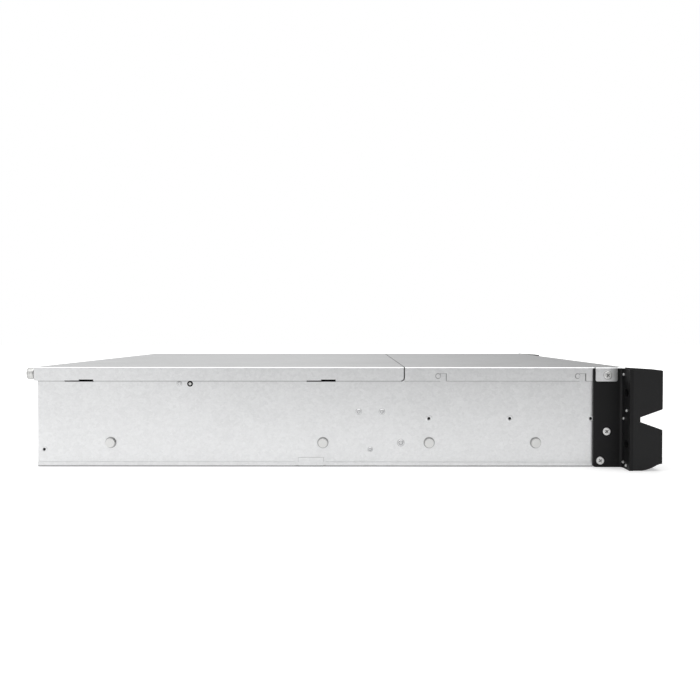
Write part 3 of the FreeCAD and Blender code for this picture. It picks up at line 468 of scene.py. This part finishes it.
def pick(piece, test):
    """Opens a piece in edit mode with the faces selected whose middle and normal pass a test."""
    hold(piece)
    bpy.ops.object.mode_set(mode="EDIT")
    bpy.ops.mesh.select_mode(type="FACE")
    bpy.ops.mesh.select_all(action="DESELECT")
    bpy.ops.object.mode_set(mode="OBJECT")
    for face in piece.data.polygons:
        face.select = test(face.center, face.normal)
    bpy.ops.object.mode_set(mode="EDIT")


def steps_up(piece, steps):
    """Insets and lifts the top face in turn: each step is (inward, upward) in millimetres."""
    top = max(face.center.z for face in piece.data.polygons)
    pick(piece, lambda middle, normal: normal.z > 0.9 and middle.z > top - 1e-6)
    for inward, upward in steps:
        bpy.ops.mesh.inset(thickness=inward * MM, depth=upward * MM)
    clear_selection()


def block(name, size, middle=(0, 0, 0), rounding=0.0):
    """A cube stretched to a size, with its edges rounded, and moved to its place. Millimetres."""
    piece = primitive("cube", name, size=1)
    hold(piece)
    bpy.ops.object.mode_set(mode="EDIT")
    bpy.ops.mesh.select_all(action="SELECT")
    bpy.ops.transform.resize(value=[length * MM for length in size], center_override=(0, 0, 0))
    if rounding:
        bpy.ops.mesh.bevel(offset=rounding * MM, segments=2, affect="EDGES")
    bpy.ops.transform.translate(value=[place * MM for place in middle])
    clear_selection()
    return piece


print("modelling helpers ready")

# %% Changing, copying and fitting
def modify(piece, kind, **settings):
    """Adds a modifier to a piece and applies it."""
    hold(piece)
    made = piece.modifiers.new(kind.lower(), kind)
    for name, value in settings.items():
        setattr(made, name, value)
    bpy.ops.object.modifier_apply(modifier=made.name)


def cut_from(piece, cutter):
    """Cuts one piece out of another and drops the cutter."""
    modify(piece, "BOOLEAN", operation="DIFFERENCE", object=cutter, solver="EXACT")
    bpy.data.objects.remove(cutter)


def joined(name, pieces):
    """Joins pieces into one and names it."""
    hold(*pieces)
    if len(pieces) > 1:
        bpy.ops.object.join()
    made = bpy.context.object
    made.name = made.data.name = name
    return made


def copied(piece, name, matrix):
    """A copy with its own mesh, carried to its place. A mirrored one is turned right way out."""
    made = piece.copy()
    made.data = piece.data.copy()
    made.name = made.data.name = name
    bpy.context.scene.collection.objects.link(made)
    made.data.transform(matrix)
    if matrix.determinant() < 0:
        made.data.flip_normals()
    return made


def fit(piece, body, finishes, stands_for=(), angle=30):
    """Smooths a piece but keeps its large faces flat, gives it its finishes, and fastens it."""
    hold(piece)
    bpy.ops.object.shade_smooth_by_angle(angle=math.radians(angle))
    modify(piece, "WEIGHTED_NORMAL", keep_sharp=True, weight=90)
    if not piece.data.materials:
        for finish in finishes:
            piece.data.materials.append(finish)
    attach(piece, body)
    if stands_for:
        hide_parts(*stands_for)
    return piece


def paint(piece, finishes, choose):
    """Gives each face the finish whose number choose() returns for its middle and normal."""
    piece.data.materials.clear()
    for finish in finishes:
        piece.data.materials.append(finish)
    for face in piece.data.polygons:
        face.material_index = choose(face.center, face.normal)


def merged(node, name):
    """A copy of a frame piece with its triangles joined into flat faces, to refine."""
    made = bpy.data.objects.new(name, nodes[node].data.copy())
    bpy.context.scene.collection.objects.link(made)
    hold(made)
    bpy.ops.object.mode_set(mode="EDIT")
    bpy.ops.mesh.select_all(action="SELECT")
    bpy.ops.mesh.remove_doubles(threshold=1e-6)
    bpy.ops.mesh.dissolve_limited(angle_limit=math.radians(1))
    clear_selection()
    return made


def soften(piece, width):
    """Rounds the sharp edges a little, as moulding and casting leave them, within the old box."""
    box = [Vector(corner) for corner in piece.bound_box]
    low, high = box[0], box[6]
    modify(piece, "BEVEL", width=width * MM, segments=2, limit_method="ANGLE",
           angle_limit=math.radians(35))
    for point in piece.data.vertices:
        point.co = [min(max(value, least), most)
                    for value, least, most in zip(point.co, low, high)]


MIRROR = Matrix.Scale(-1, 4, Vector((1, 0, 0)))


def turned(x, y, z, angle, axis):
    """Turns a piece that points up at the origin and carries it to a place in millimetres."""
    turn = Matrix.Rotation(math.radians(angle), 4, axis)
    return Matrix.Translation(Vector((x, y, z)) * MM) @ turn


def facing_left(x, y, z): return turned(x, y, z, -90, "Y")
def facing_rear(x, y, z): return turned(x, y, z, -90, "X")
def facing_front(x, y, z): return turned(x, y, z, 90, "X")


def on_both_sides(pattern, matrices):
    """Copies a piece to places on the left, mirrors each to the right, and drops the pattern."""
    made = []
    for matrix in matrices:
        left = copied(pattern, pattern.name + "_left", matrix)
        made += [left, copied(left, pattern.name + "_right", MIRROR)]
    bpy.data.objects.remove(pattern)
    return made


print("fitting helpers ready")

# %% [markdown]
# ## Pan-head screws
# Six zinc-plated screws hold the rack brackets, three a side: two in the plate and one through
# the front cover's tab. A pan head is a short cylinder with a well rounded top edge, and its
# recess is a tapered cross.
# The cross starts as a small cube whose four sides are extruded outwards and whose underside is
# scaled in. A Boolean modifier sinks it into the head.

# %% The screw
def cross_cutter(reach, thick, depth, top):
    """A tapered cross, its top at a height and its foot narrower. Millimetres."""
    cutter = block("cross", (thick, thick, depth), (0, 0, top - depth / 2))
    pick(cutter, lambda middle, normal: abs(normal.z) < 0.5)
    bpy.ops.mesh.extrude_faces_move(TRANSFORM_OT_shrink_fatten={"value": (reach - thick / 2) * MM})
    pick(cutter, lambda middle, normal: normal.z < -0.5)
    bpy.ops.transform.resize(value=(0.55, 0.55, 1), center_override=(0, 0, (top - depth) * MM))
    clear_selection()
    return cutter


def pan_screw(name, radius, height, shank, length):
    """A pan-head screw that points up, with its seat at the origin."""
    head = primitive("cylinder", name, vertices=32, radius=radius * MM, depth=height * MM,
                     location=(0, 0, height / 2 * MM))
    pick(head, lambda middle, normal: normal.z > 0.9)
    bpy.ops.mesh.bevel(offset=height * 0.62 * MM, segments=4, affect="EDGES")
    clear_selection()
    cut_from(head, cross_cutter(reach=radius * 0.52, thick=radius * 0.27, depth=height * 0.85,
                                top=height + 0.1))
    # the cross recess gets the darker zinc: painted shade
    paint(head, [bright_zinc, shaded_zinc],
          lambda middle, normal: 1 if middle.xy.length < radius * 0.55 * MM
          and 0.05 * MM < middle.z < (height - 0.05) * MM else 0)
    pin = primitive("cylinder", "shank", vertices=12, radius=shank * MM, depth=(length + 0.2) * MM,
                    location=(0, 0, (0.1 - length / 2) * MM))
    pick(pin, lambda middle, normal: normal.z < -0.9)
    bpy.ops.mesh.bevel(offset=0.3 * MM, segments=1, affect="EDGES")
    pin.data.materials.append(bright_zinc)
    return joined(name, [head, pin])


places = []
for side, y, z in ((PLATE_SIDE, 13.6, 31.5), (PLATE_SIDE, 19.1, 5.8), (TAB_SIDE, *TAB_SCREW)):
    own_turn = Matrix.Rotation(0.02 * y * z, 4, "Z")  # no two stop at the same angle
    places.append(facing_left(-side, y, z) @ own_turn)
pattern = pan_screw("pan_screw", radius=3.5, height=1.2, shank=1.6, length=4.0)
screws = on_both_sides(pattern, places)
fit(joined("bracket_pan_screws", screws), "chassis", [], ["bracket_screws"])
print("pan-head screws:", len(screws))

# %% [markdown]
# ## Thumb screws
# The rear cover is held by two thumb screws with straight knurling, so that fingers grip them.
# The knurl is every side face of a 40-sided cylinder, inset by itself and pushed in. Under the
# head are a groove and a smooth collar. The screw turns and slides with the cover, so it rides
# on its own body.

# %% Thumb screws
COLLAR, GROOVE, HEAD = 1.3, 0.7, 6.1  # their lengths, from the seat outwards


def thumb_screw(node):
    """Builds the screw pointing up, at the size and place of the frame's one."""
    low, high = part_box(node)
    seat, x, z = high.y / MM - 6.3, (low.x + high.x) / 2 / MM, (low.z + high.z) / 2 / MM
    head = primitive("cylinder", node + "_head", vertices=40, radius=5.25 * MM, depth=HEAD * MM,
                     location=(0, 0, (COLLAR + GROOVE + HEAD / 2) * MM))
    pick(head, lambda middle, normal: abs(normal.z) > 0.9)
    bpy.ops.mesh.bevel(offset=0.6 * MM, segments=3, affect="EDGES")
    pick(head, lambda middle, normal: abs(normal.z) < 0.1 and middle.xy.length > 5 * MM)
    bpy.ops.mesh.inset(thickness=0.13 * MM, depth=-0.28 * MM, use_individual=True)
    clear_selection()
    head.data.materials.append(bright_zinc)
    steps_up(head, [(0.5, 0.0), (0.25, -0.3)])
    cut_from(head, cross_cutter(reach=2.6, thick=0.9, depth=2.2, top=8.0))
    collar = primitive("cylinder", "collar", vertices=32, radius=4.9 * MM, depth=COLLAR * MM,
                       location=(0, 0, COLLAR / 2 * MM))
    for upwards, inset, reach in ((1, 0.5, 1.0), (-1, 2.9, low.y / MM - seat)):  # groove, shank
        pick(collar, lambda middle, normal: normal.z * upwards > 0.9)
        bpy.ops.mesh.inset(thickness=inset * MM)
        bpy.ops.mesh.extrude_region_move(TRANSFORM_OT_translate={"value": (0, 0, reach * MM)})
        clear_selection()
    collar.data.materials.append(bright_zinc)
    made = joined(node + "_knurled", [head, collar])
    made.data.transform(facing_rear(x, seat, z))
    return fit(made, node, [], [node])


for node in ("left_thumb_screw", "right_thumb_screw"):
    print(thumb_screw(node).name)

# %% [markdown]
# ## Rivets in the side walls
# Solid rivets fasten the cage and the fan wall to the sides. Their heads are almost flush: a low
# raised rim, a ring pressed in by the setting tool and a small cone in the middle. Each is a short
# cylinder whose top is inset and lifted or sunk step by step. One more sits half under the rear
# cover's edge, so a bisect cuts off its upper part.

# %% Rivets
heads = []
for y, z, radius, _ in RIVETS:
    proud = 0.3 if y > 300 else 0.55  # the rearmost stands out less
    head = primitive("cylinder", "rivet", vertices=28, radius=radius * MM, depth=0.1 * MM,
                     location=(0, 0, 0.05 * MM))
    steps_up(head, [(0.22 * radius, proud - 0.1), (0.14 * radius, 0), (0.14 * radius, -proud * 0.7),
                    (0.14 * radius, 0), (0.12 * radius, proud * 0.6), (0.1 * radius, 0.05)])
    heads += on_both_sides(head, [facing_left(-WALL_SIDE, y, z)])
hidden = primitive("cylinder", "half_hidden_rivet", vertices=28, radius=2.3 * MM, depth=0.08 * MM,
                   location=(0, 0, 0.04 * MM))
steps_up(hidden, [(0.5, 0.3), (0.6, 0)])
hidden.data.transform(facing_left(-WALL_SIDE, 510.3, 76.5))
hold(hidden)
bpy.ops.object.mode_set(mode="EDIT")
bpy.ops.mesh.select_all(action="SELECT")
bpy.ops.mesh.bisect(plane_co=(0, 0, (HEM - 0.1) * MM), plane_no=(0, 0, 1), clear_outer=True,
                    use_fill=True)
clear_selection()
heads += on_both_sides(hidden, [Matrix()])
rivets = joined("set_rivets", heads)
rivets.data.materials.clear()
# with this finish, the rivets' faces that point front, back or down are painted dark: painted shade
fit(rivets, "chassis", [steel_with_painted_joints], ["side_rivets"], angle=20)
print("rivets on each side:", len(heads) // 2)

# %% [markdown]
# ## Ring round a sunk screw
# One small cross-recess screw a side sits in a hole a little wider than its head. A flat ring in a
# dull black stands for that gap's shade. It is a thin disc with a smaller one cut out of it.

# %% Dark rings
def flat_ring(name, inner, outer, thick):
    """A washer that lies flat at the origin. Millimetres."""
    ring = primitive("cylinder", name, vertices=32, radius=outer * MM, depth=thick * MM,
                     location=(0, 0, thick / 2 * MM))
    hole = primitive("cylinder", "hole", vertices=32, radius=inner * MM, depth=3 * MM)
    cut_from(ring, hole)
    return ring


place = facing_left(-WALL_SIDE, *SMALL_SCREW)
pattern = pan_screw("small_screw", radius=1.3, height=0.45, shank=0.9, length=1.0)
screws = on_both_sides(pattern, [place])
fit(joined("small_side_screws", screws), "chassis", [])
rings = on_both_sides(flat_ring("dark_ring", inner=1.25, outer=2.55, thick=0.08), [place])
fit(joined("screw_gap_rings", rings), "chassis", [black_foam])
print("dark rings:", len(rings))

# %% [markdown]
# ## Collars of the tapped holes
# A tapped hole in thin sheet is drawn first, which leaves a smooth raised collar round it that
# holds more thread. The collar is a torus, flattened and cut off at the sheet's face.

# %% Collars
collar = primitive("torus", "collar", major_radius=2.15 * MM, minor_radius=0.85 * MM,
                   major_segments=32, minor_segments=10)
hold(collar)
bpy.ops.object.mode_set(mode="EDIT")
bpy.ops.mesh.select_all(action="SELECT")
bpy.ops.transform.resize(value=(1, 1, 0.45), center_override=(0, 0, 0))
bpy.ops.mesh.bisect(plane_co=(0, 0, 0), plane_no=(0, 0, 1), clear_inner=True)
clear_selection()
holes = [facing_left(-WALL_SIDE, y, z) for y, z in TAPPED_HOLES]
collars = on_both_sides(collar, holes)
fit(joined("tapped_hole_collars", collars), "chassis", [steel])
print("collars:", len(collars))

# %% [markdown]
# ## Painted shade inside the tapped holes and the hook slots
# The threads are too fine to see, but no light comes back out of them. Each hole gets a short dark
# plug with a sunk end, which stands for that darkness as painted shade. Behind each hook slot, a
# thin black strip stands for the shade inside the slot, painted shade too. It starts as a cube and
# is stretched to a strip, and its edges are rounded.

# %% Dark plugs and shade strips
plug = primitive("cylinder", "plug", vertices=16, radius=1.3 * MM, depth=0.5 * MM,
                 location=(0, 0, -0.5 * MM))
steps_up(plug, [(0.25, 0.1), (0.1, -0.4)])
plugs = on_both_sides(plug, holes)
strip = block("strip", (5.0, 30.0, 0.8), rounding=0.25)
BEHIND_FACE, ABOVE_HEM = 1.5, 0.8
slots = [facing_left(BEHIND_FACE - WALL_SIDE, y + SLOT_LENGTH / 2, HEM + ABOVE_HEM)
         for y in HOOK_SLOTS]
strips = on_both_sides(strip, slots)
# the plugs and the strips are painted shade, not parts of the shelf
fit(joined("tapped_hole_shade", plugs), "chassis", [bezel_moulding])
fit(joined("slot_foam_strips", strips), "chassis", [black_foam])
print("plugs:", len(plugs), "strips:", len(strips))

# %% [markdown]
# ## Rail studs
# The rack rails hook on four shouldered studs a side. The frame has them at size, so only their
# outer edges need easing.

# %% Studs
studs = merged("rail_studs", "eased_rail_studs")
soften(studs, 0.35)
fit(studs, "chassis", [steel], ["rail_studs"])
print("studs have", len(studs.data.polygons), "faces")

# %% [markdown]
# ## Screw ends behind the ears
# Five small screws fasten each moulded ear from inside, and their bright ends come through the
# rack flange. An end is a cylinder with its tip bevelled and three turns of thread: each turn is a
# pair of insets, one going in and one going out.

# %% Screw ends
def screw_end():
    """A threaded screw end that points up."""
    end = primitive("cylinder", "screw_end", vertices=16, radius=1.45 * MM, depth=0.2 * MM,
                    location=(0, 0, 0.1 * MM))
    for turn in range(3):
        steps_up(end, [(0.2, 0.15), (-0.2, 0.15)])
    steps_up(end, [(0.4, 0.1)])
    return end


END_PLACES = ((225.2, 81.8), (233.4, 51.0), (225.6, 43.4), (225.0, 5.2), (232.6, 3.5))
ends = on_both_sides(screw_end(), [facing_rear(-x, 0, z) for x, z in END_PLACES])
fit(joined("ear_screw_ends", ends), "chassis", [bright_zinc])
print("screw ends:", len(ends))

# %% [markdown]
# ## Rack ears
# The ears are injection moulded, so every edge has a small radius. A merged copy of the frame's ear
# gets one with a Bevel modifier. The inserts on their lower halves are separate mouldings. The left
# one has three small pockets under the button, which a cylinder cuts, for the status lights.

# %% Ears and inserts
button_low, button_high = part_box("id_button")
button_x = (button_low.x + button_high.x) / 2 / MM
face_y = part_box("left_ear_cover")[0].y / MM
LIGHT_HEIGHTS = (25.0, 20.0, 15.0)
for side in ("left", "right"):
    for part, width in (("ear_cover", 0.35), ("ear_insert", 0.2)):
        node = f"{side}_{part}"
        ear = merged(node, node + "_moulded")
        soften(ear, width)
        pocket_heights = LIGHT_HEIGHTS if node == "left_ear_insert" else ()
        for height in pocket_heights:
            pocket = primitive("cylinder", "pocket", vertices=24, radius=1.4 * MM, depth=1.4 * MM)
            pocket.data.transform(facing_front(button_x, face_y, height))
            cut_from(ear, pocket)
        fit(ear, "chassis", [black_moulding], [node])
    print(side, "ear done")

# %% [markdown]
# ## Status lenses
# A status lens is a short tube in a pocket of the black face, with a tinted dome inside it. The
# tube is a cylinder whose end is inset and sunk, and the dome a smaller one inset and lifted.

# %% One lens, to be copied
def lens(radius):
    """A lens that points up, its rim at the origin. Material 0 is the rim and 1 the lens."""
    made = primitive("cylinder", "lens", vertices=20, radius=radius * MM, depth=0.4 * MM,
                     location=(0, 0, -0.2 * MM))
    steps_up(made, [(0.08 * radius, 0.12), (0.14 * radius, 0), (0.05 * radius, -0.2)])
    core = primitive("cylinder", "core", vertices=16, radius=0.7 * radius * MM, depth=0.2 * MM,
                     location=(0, 0, -0.1 * MM))
    steps_up(core, [(0.12 * radius, 0.06), (0.2 * radius, 0.05)])
    made.data.materials.append(black_moulding)
    core.data.materials.append(green_lens)
    return joined("lens", [made, core])


def amber(piece):
    """Turns the green part of a lens amber."""
    for index, material in enumerate(piece.data.materials):
        if material == green_lens:
            piece.data.materials[index] = amber_lens


pattern = lens(1.3)
SUNK = 0.3
ear_lenses = [copied(pattern, "ear_lens", facing_front(button_x, face_y + SUNK, z))
              for z in LIGHT_HEIGHTS]
amber(ear_lenses[1])
fit(joined("ear_status_lenses", ear_lenses), "chassis", [])
print("lenses in the left ear:", len(LIGHT_HEIGHTS))

# %% [markdown]
# ## Disk trays
# A tray is a black moulded front with steel rails, and the disk lies between them. One tray is
# made from the frame's: its edges are eased, the front, the rails and the disk each get their
# own finish, and two lenses go in the strip above the lever. The other eleven are copies of it.

# %% The first tray
TRAYS = 12
FRONT_DEPTH = 12.2  # of the moulding; the rails start behind it


def dressed_tray(node):
    """The frame's tray and disk with their finishes and two lenses, and its lowest corner."""
    low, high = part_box(node)
    tray_name = node + "_dressed"
    tray = merged(node, tray_name)
    hold(tray)
    bpy.ops.object.mode_set(mode="EDIT")
    bpy.ops.mesh.select_all(action="SELECT")
    bpy.ops.mesh.separate(type="LOOSE")
    clear_selection()
    parts = [piece for piece in bpy.context.scene.objects if piece.name.startswith(tray_name)]
    parts.sort(key=lambda piece: min(corner[1] for corner in piece.bound_box))
    front, disk = parts
    soften(front, 0.22)
    paint(front, [bezel_moulding, case_sheet],
          lambda middle, normal: 0 if middle.y < FRONT_DEPTH * MM else 1)
    top = max(corner[2] for corner in disk.bound_box)
    pick(disk, lambda middle, normal: normal.z > 0.9 and middle.z > top - 1e-6)
    bpy.ops.mesh.inset(thickness=5 * MM)
    bpy.ops.mesh.inset(thickness=1.2 * MM, depth=-0.5 * MM)
    soften(disk, 0.6)
    paint(disk, [cast_alloy], lambda middle, normal: 0)
    lenses = []
    for inward in (6, 11):
        place = facing_front(high.x / MM - inward, low.y / MM, low.z / MM + 23.3)
        lenses.append(copied(pattern, "tray_lens", place @ Matrix.Scale(0.75, 4)))
    amber(lenses[1])
    return joined(tray_name, [front, disk, *lenses]), low


first_tray, first_corner = dressed_tray("tray_01")
print("first tray has", len(first_tray.data.polygons), "faces")

# %% All twelve trays
for number in range(2, TRAYS + 1):
    node = f"tray_{number:02d}"
    shift = Matrix.Translation(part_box(node)[0] - first_corner)
    fit(copied(first_tray, node + "_dressed", shift), node, [], [node])
fit(first_tray, "tray_01", [], ["tray_01"])
bpy.data.objects.remove(pattern)
print("trays:", TRAYS)

# %% [markdown]
# ## Tray levers
# A lever is a slotted bar that swings out from its left end and pulls the tray with it. Its edges
# are eased, and three fine ribs go across the thumb grip at its free end.

# %% Levers
def ribs(low, high):
    """Three small rounded ribs on the grip, which is at the right end of a lever."""
    y, z = low.y / MM + 0.42, (low.z + high.z) / 2 / MM
    return [block("rib", (0.9, 0.55, 9.6), (high.x / MM - inward, y, z), rounding=0.2)
            for inward in (4.2, 6.5, 8.8)]


low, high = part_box("lever_01")
first_lever = merged("lever_01", "lever_01_moulded")
soften(first_lever, 0.3)
first_lever.data.materials.clear()
first_lever = joined("lever_01_moulded", [first_lever, *ribs(low, high)])
first_lever.data.materials.append(charcoal_moulding)
for number in range(2, TRAYS + 1):
    node = f"lever_{number:02d}"
    shift = Matrix.Translation(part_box(node)[0] - low)
    fit(copied(first_lever, node + "_moulded", shift), node, [], [node])
fit(first_lever, "lever_01", [], ["lever_01"])
print("levers:", TRAYS)

# %% [markdown]
# ## Power supplies
# Each supply is a plain sheet case. The case's faces just inside its slots and inlet are painted
# black as painted shade, and its pull handle is black. The inlet has a moulded surround with a thin
# flange, made from one block: the back is inset and pushed through to make a tube.

# %% Supplies
def inlet_surround(name, x, y, z):
    """A black tube with a flange for the mains inlet, in the supply's rear face. Millimetres."""
    flange = block(name, (28.0, 19.4, 0.9), (0, 0, 0.45))
    steps_up(flange, [(2.2, 0), (0.6, -0.4), (0.3, -11.0)])
    modify(flange, "BEVEL", width=0.3 * MM, segments=2, limit_method="ANGLE",
           angle_limit=math.radians(35))
    flange.data.transform(facing_rear(x, y, z))
    return flange


HANDLE_REACH, OPENING_DEPTH, SHEET = 22 * MM, 15.5 * MM, 0.4 * MM


def dress_supply(node):
    """Gives a supply its finishes, its inlet's surround and its light."""
    low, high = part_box(node)
    rear = high.y - HANDLE_REACH
    middle_z = (low.z + high.z) / 2
    case = merged(node, node + "_dressed")
    soften(case, 0.25)

    def choose(middle, normal):
        """1 for the handle, and for the insides of the slots and inlet as painted shade; 0 for the
        case.
        """
        if middle.y > rear + SHEET:
            return 1
        inside = low.x + 4 * MM < middle.x < high.x - 5 * MM \
            and rear - OPENING_DEPTH < middle.y < rear - SHEET \
            and abs(middle.z - middle_z) < 18 * MM
        return 1 if inside else 0

    paint(case, [case_sheet, bezel_moulding], choose)
    left, bottom, rear = low.x / MM, low.z / MM, rear / MM
    surround = inlet_surround(node + "_inlet", left + 17, rear, middle_z / MM)
    surround.data.materials.append(socket_plastic)
    light = lens(1.4)
    light.data.transform(facing_rear(left + 4, rear, bottom + 34))
    fit(case, node, [], [node])
    fit(joined(node + "_fittings", [surround, light]), node, [])


for node in ("psu_1", "psu_2"):
    dress_supply(node)
    latch = merged(node + "_latch", node + "_latch_moulded")
    soften(latch, 0.3)
    fit(latch, node + "_latch", [blue_moulding], [node + "_latch"])
    print("dressed", node)

# %% [markdown]
# ## Host ports
# Each port is a pressed metal cage round a black socket with a contact tongue. The cage's inner
# faces are painted dark by picking them, partly for the black socket and partly as painted shade
# inside the cage, and the tongues are thin blocks with their entry edges bevelled.

# %% Ports
PORT_MIDDLES = (-165, -140, -60, -35)
low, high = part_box("sas_ports")


def inside_port(middle, normal):
    """True for the faces inside the cages."""
    return high.y - 26 * MM < middle.y < high.y - 0.6 * MM \
        and low.z + 1.2 * MM < middle.z < high.z - 1.2 * MM and abs(normal.y) < 0.5 \
        and min(abs(middle.x - centre * MM) for centre in PORT_MIDDLES) < 7.6 * MM


ports = merged("sas_ports", "host_ports")
soften(ports, 0.25)
# the cages' inner faces are painted dark: partly the black socket, partly painted shade
paint(ports, [bright_zinc, socket_plastic], inside_port)
fit(ports, "chassis", [], ["sas_ports"])
tongues = []
for x in PORT_MIDDLES:
    tongue = block("tongue", (11.5, 14, 1.1), (x, high.y / MM - 18, (low.z + high.z) / 2 / MM))
    pick(tongue, lambda middle, normal: normal.y > 0.9)
    bpy.ops.mesh.bevel(offset=0.35 * MM, segments=1, affect="EDGES")
    clear_selection()
    tongues.append(tongue)
fit(joined("port_tongues", tongues), "chassis", [solder_mask])
print("ports with tongues:", len(tongues))

# %% [markdown]
# ## Studio
# The shelf lies on a pale floor in a white room. The pure white surround comes from how the camera
# sees the floor and the world, not from more light. For the camera the floor adds a glow to its lit
# colour, more of it further out where the lamp doesn't reach, so the thin shadow under the shelf
# stays. Metal mirrors that glow too, less of it further out and towards the shelf's front.

# %% The floor
bpy.context.scene.view_settings.view_transform = "Standard"
floor_z = cad_box[0][2] - 0.0002
clear_selection()
bpy.ops.mesh.primitive_plane_add(size=12, location=(0, 0, floor_z))
floor = bpy.context.object
floor.name = "floor"
bpy.ops.object.transform_apply(location=True)
paper = Finish("pale_floor", Base_Color=(0.8, 0.8, 0.8), Roughness=0.9)
place = paper.node("ShaderNodeTexCoord", output="Object")
far = paper.node("ShaderNodeVectorMath", {"operation": "LENGTH"}, {0: place}, output="Value")
backward = paper.axes(place)[1]
falling = paper.spread(far, 0.45, 1.5, 1.0, 0.2) * paper.spread(backward, 0.5, 0.0, 1.25, 0.7)
to_camera, to_metal = (paper.node("ShaderNodeLightPath", output=f"Is {kind} Ray")
                       for kind in ("Camera", "Glossy"))
seen = to_camera + to_metal * falling
glow = paper.node("ShaderNodeEmission", values={
    "Color": (1, 1, 1), "Strength": paper.spread(far, 0.7, 2.2, 0.42, 1.0)})
lit = Wire(paper, paper.shader.outputs[0])
both = paper.node("ShaderNodeAddShader", values={0: lit, 1: glow})
shown = paper.node("ShaderNodeMixShader", values={0: seen, 1: lit, 2: both})
paper.put(paper.tree.nodes["Material Output"].inputs["Surface"], shown)
floor.data.materials.append(paper.material)
print("floor lies at", round(floor_z, 5), "m")

# %% [markdown]
# ## Room light
# Shiny sheet mirrors the room, and in an even room its top and side would each be one flat tone.
# So two walls are darker in reflections: the one beyond the shelf, most of all towards its
# front, and the low part of the one on the near side. Dull surfaces get an even, half bright
# room, and the camera sees plain white.

# %% The world
class Room(Finish):
    """The same node helpers for the world's own tree."""

    def __init__(self, tree):
        self.tree = tree


world = bpy.data.worlds.new("studio")
world.use_nodes = True
bpy.context.scene.world = world
room = Room(world.node_tree)
background = world.node_tree.nodes["Background"]
background.inputs["Color"].default_value = (1, 1, 1, 1)
away, back, up = room.axes(room.node("ShaderNodeTexCoord", output="Generated"))
far_wall = room.spread(away, 0.0, 0.5, 0.0, 1.0) * room.spread(back, 0.05, -0.4, 0.6, 1.6)
near_wall = room.spread(away, 0.1, -0.5, 0.0, 1.0) * room.spread(up, 0.0, 0.8, 1.0, 0.0) \
    * room.spread(back, 0.45, 0.05, 0.15, 1.0)
PLAIN, MIRRORED, WHITE = 0.5, 0.82, 1.0
mirror = MIRRORED - far_wall * 0.45 - near_wall * 0.72
to_camera, to_metal = (room.node("ShaderNodeLightPath", output=f"Is {kind} Ray")
                       for kind in ("Camera", "Glossy"))
room.put(background.inputs["Strength"],
         PLAIN + to_camera * (WHITE - PLAIN) + to_metal * (mirror - PLAIN))
print("the room is white to the camera and darker in reflections on two sides")

# %% [markdown]
# ## Lamps
# One large soft lamp overhead does nearly all the work. A small weak one, low beside the shelf's
# rear, lifts the side a little towards that end.

# %% Lamps
def lamp(name, place, target, width, height, power):
    """A rectangular soft lamp that faces its target."""
    data = bpy.data.lights.new(name, "AREA")
    data.shape = "RECTANGLE"
    data.size, data.size_y, data.energy = width, height, power
    made = bpy.data.objects.new(name, data)
    bpy.context.scene.collection.objects.link(made)
    made.location = place
    made.rotation_euler = (Vector(target) - Vector(place)).to_track_quat("-Z", "Y").to_euler()


lamp("overhead", place=(0, 0.25, 1.9), target=(0, 0.25, 0), width=2.9, height=2.9, power=33)
lamp("side_rear", place=(-1.6, 1.3, 0.2), target=(-0.2, 0.45, 0), width=1.2, height=0.4, power=0.5)
print("two lamps and the room light the shelf")
